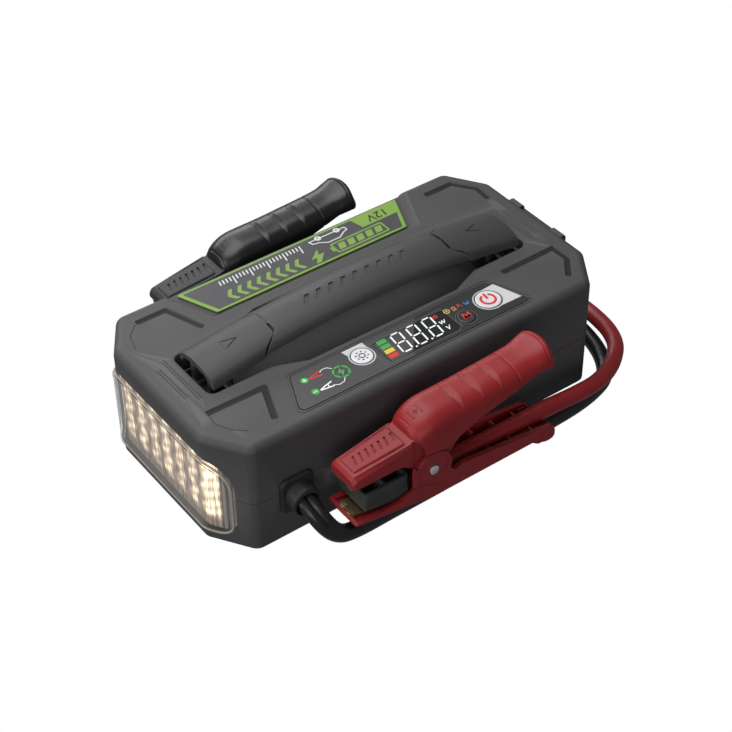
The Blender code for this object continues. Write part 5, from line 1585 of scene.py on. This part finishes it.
def build_label():
    base = NOTCH_FLOOR + 0.05
    top = NOTCH_FLOOR + 1.1
    outline = [(-60.2, 36.6), (60.8, 36.6), (70.8, 60.6), (-70.0, 60.6)]
    plate = slab("label_base", rounded(outline, 0.9, 4), "Z", base, top)
    piece(bevel(plate, 0.25, 2, 50), LIME_INK, "case", "label_green", ["label_plate"], 32)
    lo = top - 0.2
    centre = [(-58.4, 38.0), (59.0, 38.0), (68.2, 59.2), (-67.2, 59.2)]
    window = slab("label_centre", rounded(centre, 0.5, 3), "Z", lo, top + 0.03)
    piece(window, LABEL_GREY, "case", "label_green", (), 32)
    # Green corner block at the right, with the supply voltage
    block = slab("label_block", [(41.6, 50.2), (66.4, 50.2), (70.2, 60.1), (39.2, 60.1)], "Z", lo, top + 0.05)
    piece(block, LIME_INK, "case", "label_green", (), 32)
    volts = lettering("label_volts", "12V", 54.6, 54.9, 8.2, lo, top + 0.08, turn=180, bold=0.12, slant=0.12)
    piece(volts, DARK_INK, "case", "label_green", (), 32)
    # Plain pictures in place of lettering, drawn to be read from the back: a goes right and b up
    hi = top + 0.07

    def turned(points):
        return [(5.0 - a, 98.0 - b) for a, b in points]

    def shape(points):
        return flat(turned(points), lo, hi)

    white, lime = [], []
    # Battery with slanted charge cells, a bolt and a run of arrow heads
    case_ring = shape(rounded(oblong(-47, 49.6, -13, 58.6), 1.2, 4))
    hole = flat(turned(rounded(oblong(-46, 50.6, -14, 57.6), 0.6, 4)), lo - 1, hi + 1)
    lime += [cut(case_ring, hole), shape(oblong(-13.1, 52.2, -11.4, 56.0))]
    for k in range(5):
        a = -45.2 + 6.0 * k
        lime.append(shape([(a, 51.6), (a + 4.2, 51.6), (a + 5.8, 56.6), (a + 1.6, 56.6)]))
    lime.append(shape([(-1.4, 59.2), (-7.0, 53.4), (-3.4, 53.4), (-5.4, 49.0), (2.2, 55.0), (-1.4, 55.0), (1.6, 59.2)]))
    for k in range(8):
        a = 7.0 + 6.0 * k
        lime.append(shape([(a, 49.8), (a + 2.4, 49.8), (a + 5.2, 54.1), (a + 2.4, 58.4), (a, 58.4), (a + 2.8, 54.1)]))
    # Car in outline, then a scale of fine ticks
    car = [(-28.5, 41.6), (-28.5, 44.0), (-25.6, 45.0), (-21.6, 47.6), (-13.8, 47.6), (-9.8, 44.9), (-6.2, 44.2),
           (-5.4, 41.6)]
    white.append(stroke(turned([*car, car[0]]), 0.7, lo, hi))
    white += [ring_part(5.0 - a, 98.0 - 41.4, 0.9, 1.9, 0, 360, lo, hi + 0.02, 24) for a in (-23.4, -11.2)]
    for k in range(25):
        a, tall = 0.5 + 2.1 * k, 6.4 if k % 5 == 0 else 3.4
        lean = 0.2 * tall
        white.append(shape([(a, 41.0), (a + 0.75, 41.0), (a + 0.75 + lean, 41.0 + tall), (a + lean, 41.0 + tall)]))
    piece(merge("label_bars_white", *white), WHITE_INK, "case", "label_green", (), 32)
    piece(merge("label_bars_lime", *lime), LIME_INK, "case", "label_green", (), 32)


# ---------------------------------------------------------------- ports

def build_ports():
    hinge_x, hinge_z = 121.9, 65.3
    outline = rounded(oblong(-27, 38, 27, 60.2), 3, 8)
    cover = slab("cover", outline, "X", 120.4, 122.6)
    bevel(cover, 0.6, 3, 50)
    frame_ring = slab("cover_rim", grown(outline, -2.2), "X", 122.2, 122.85)
    cut(frame_ring, slab("cover_rim_hole", grown(outline, -3.2), "X", 121, 124))
    tongue = bevel(box("tongue", (120.5, -12, 59), (122.7, 12, 65.3)), 0.5, 2)
    barrel = bevel(rod("barrel", (hinge_x, -12, hinge_z), (hinge_x, 12, hinge_z), 1.5, 32), 0.3, 2)
    lip = bevel(slab("cover_lip", [(122, 38.4), (123.6, 39.2), (122, 42)], "Y", -9, 9), 0.3, 2, 30)
    ribs = [bevel(box("cover_rib", (122.4, y - 0.5, 44), (122.95, y + 0.5, 54)), 0.2, 2) for y in (-8, -4, 0, 4, 8)]
    flap = merge("port_cover_flap", cover, frame_ring, tongue, barrel, lip, *ribs)
    piece(flap, RUBBER, "port_cover", "black_rubber", ["port_cover"], 36)

    board = box("port_pcb", (112.2, -24, 39), (113.8, 24, 61))
    piece(board, PCB, "case", "board_green", ["port_board"], 32)
    shells, cores = [], []
    for y, w, h in ((-13.5, 6.9, 3.3), (0, 4.7, 1.9), (13.5, 6.9, 3.3)):
        corner = h - 0.1 if y == 0 else 0.6
        outline = oblong(y - w, 50 - h, y + w, 50 + h)
        shell = slab("shell", rounded(outline, corner, 8), "X", 113.5, 118.6)
        inner = rounded(grown(outline, -0.5), max(0.3, corner - 0.5), 8)
        shells.append(cut(shell, slab("mouth", inner, "X", 114.4, 125)))
        low, high = (49.6, 50.4) if y == 0 else (50.3, 52.0)
        cores.append(box("tongue", (114.2, y - w + 1.4, low), (118.0, y + w - 1.4, high)))
    piece(merge("port_shells", *shells), STEEL, "case", "steel", (), 32)
    piece(merge("port_tongues", *cores), JAW_GREY, "case", "jaw_grey", (), 32)


# ---------------------------------------------------------------- inside parts that keep their CAD shape

def foil(name):
    """Crinkled silver pouch foil."""
    made = Finish(name, (0.55, 0.56, 0.58), 0.32, metallic=0.7)
    creases = made.noise(45.0, 5.0, 0.6, twist=1.2)
    made.drive("Base Color", made.mix(creases.fit(0.35, 0.65), (0.48, 0.49, 0.51), (0.64, 0.65, 0.67)))
    made.drive("Roughness", creases.fit(0.3, 0.7, 0.24, 0.42))
    made.bump(creases, 0.5, 0.0006)
    return made.material


def glass_black(name):
    """Smoked window film, glossy, with a trace of dust."""
    made = Finish(name, (0.012, 0.013, 0.013), 0.14, specular=0.5, coat=0.4, coat_roughness=0.06)
    dust = made.noise(240.0, 5.0, 0.7).fit(0.5, 0.8)
    made.drive("Base Color", made.mix(dust * 0.35, (0.016, 0.017, 0.017), (0.035, 0.036, 0.036)))
    made.drive("Roughness", dust.fit(0.0, 1.0, 0.12, 0.3))
    return made.material


DISPLAY_GLASS = glass_black("display_glass")
GREY_INK = print_ink("ink_grey", (0.115, 0.118, 0.115))


def paint_inside():
    finishes = {
        "battery_tray": JAW_GREY, "start_relay": JAW_GREY, "busbar_positive": COPPER, "busbar_negative": COPPER,
        "main_board": PCB, "display_module": DISPLAY_GLASS, "power_switch": JAW_GREY, "light_switch": JAW_GREY,
        "mode_switch": JAW_GREY,
    }
    silver = foil("cell_foil")
    for k in range(4):
        finishes[f"battery_cell_{k + 1}"] = silver
    for corner in ("left_front", "left_back", "right_front", "right_back"):
        finishes[f"screw_{corner}"] = STEEL
    for name, finish in finishes.items():
        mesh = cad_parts[name].data
        mesh.materials.clear()
        mesh.materials.append(finish)


# ---------------------------------------------------------------- studio

def area_light(name, place, target, size, size_y, power):
    data = bpy.data.lights.new(name, "AREA")
    data.shape = "RECTANGLE"
    data.size, data.size_y = size, size_y
    data.energy = power
    light = bpy.data.objects.new(name, data)
    SCENE.collection.objects.link(light)
    light.location = place
    light.rotation_euler = (Vector(target) - Vector(place)).to_track_quat("-Z", "Y").to_euler()


def plain_white(name):
    """Paper-white sweep that shows no shadow."""
    made = bpy.data.materials.new(name)
    made.use_nodes = True
    shader = made.node_tree.nodes["Principled BSDF"]
    for name, value in (("Base Color", (0, 0, 0, 1)), ("Roughness", 1.0), ("Specular IOR Level", 0.0),
                        ("Emission Color", (1, 1, 1, 1)), ("Emission Strength", 1.0)):
        shader.inputs[name].default_value = value
    return made


def build_studio():
    paper = plain_white("paper")
    bm = bmesh.new()
    bmesh.ops.create_grid(bm, x_segments=1, y_segments=1, size=6.0)
    floor = add("floor", mesh_from(bm))
    bm = bmesh.new()
    bmesh.ops.create_uvsphere(bm, u_segments=48, v_segments=24, radius=6.0)
    backdrop = add("backdrop", mesh_from(bm))
    for item in (floor, backdrop):
        item.data.materials.append(paper)
        for ray in ("diffuse", "glossy", "transmission", "volume_scatter", "shadow"):
            setattr(item, f"visible_{ray}", False)
    world = bpy.data.worlds.new("studio")
    SCENE.world = world
    world.use_nodes = True
    sky = world.node_tree.nodes["Background"]
    sky.inputs["Color"].default_value = (0.9, 0.93, 1.0, 1)
    sky.inputs["Strength"].default_value = 0.17
    area_light("overhead", (-0.12, 0.28, 0.85), (0, 0, 0.05), 0.9, 0.7, 7.8)
    area_light("left", (-0.95, 0.02, 0.38), (-0.05, 0, 0.04), 0.5, 0.5, 3.4)
    area_light("front_fill", (-0.62, -0.95, 0.42), (-0.04, 0, 0.04), 0.9, 0.6, 3.4)
    area_light("back_strip", (0.10, 0.85, 0.42), (0, 0.05, 0.08), 0.8, 0.25, 3.0)
    SCENE.view_settings.view_transform = "Standard"
    SCENE.view_settings.look = "None"


# ---------------------------------------------------------------- assembly

build_upper()
build_lower()
build_feet()
build_lamp()
build_strap()
for side, sign in (("front", -1), ("back", 1)):
    build_gland(side, sign)
    build_dock(side, sign)
build_clamps()
build_panel()
build_buttons()
build_label()
build_ports()
paint_inside()
build_studio()

bpy.context.view_layer.update()
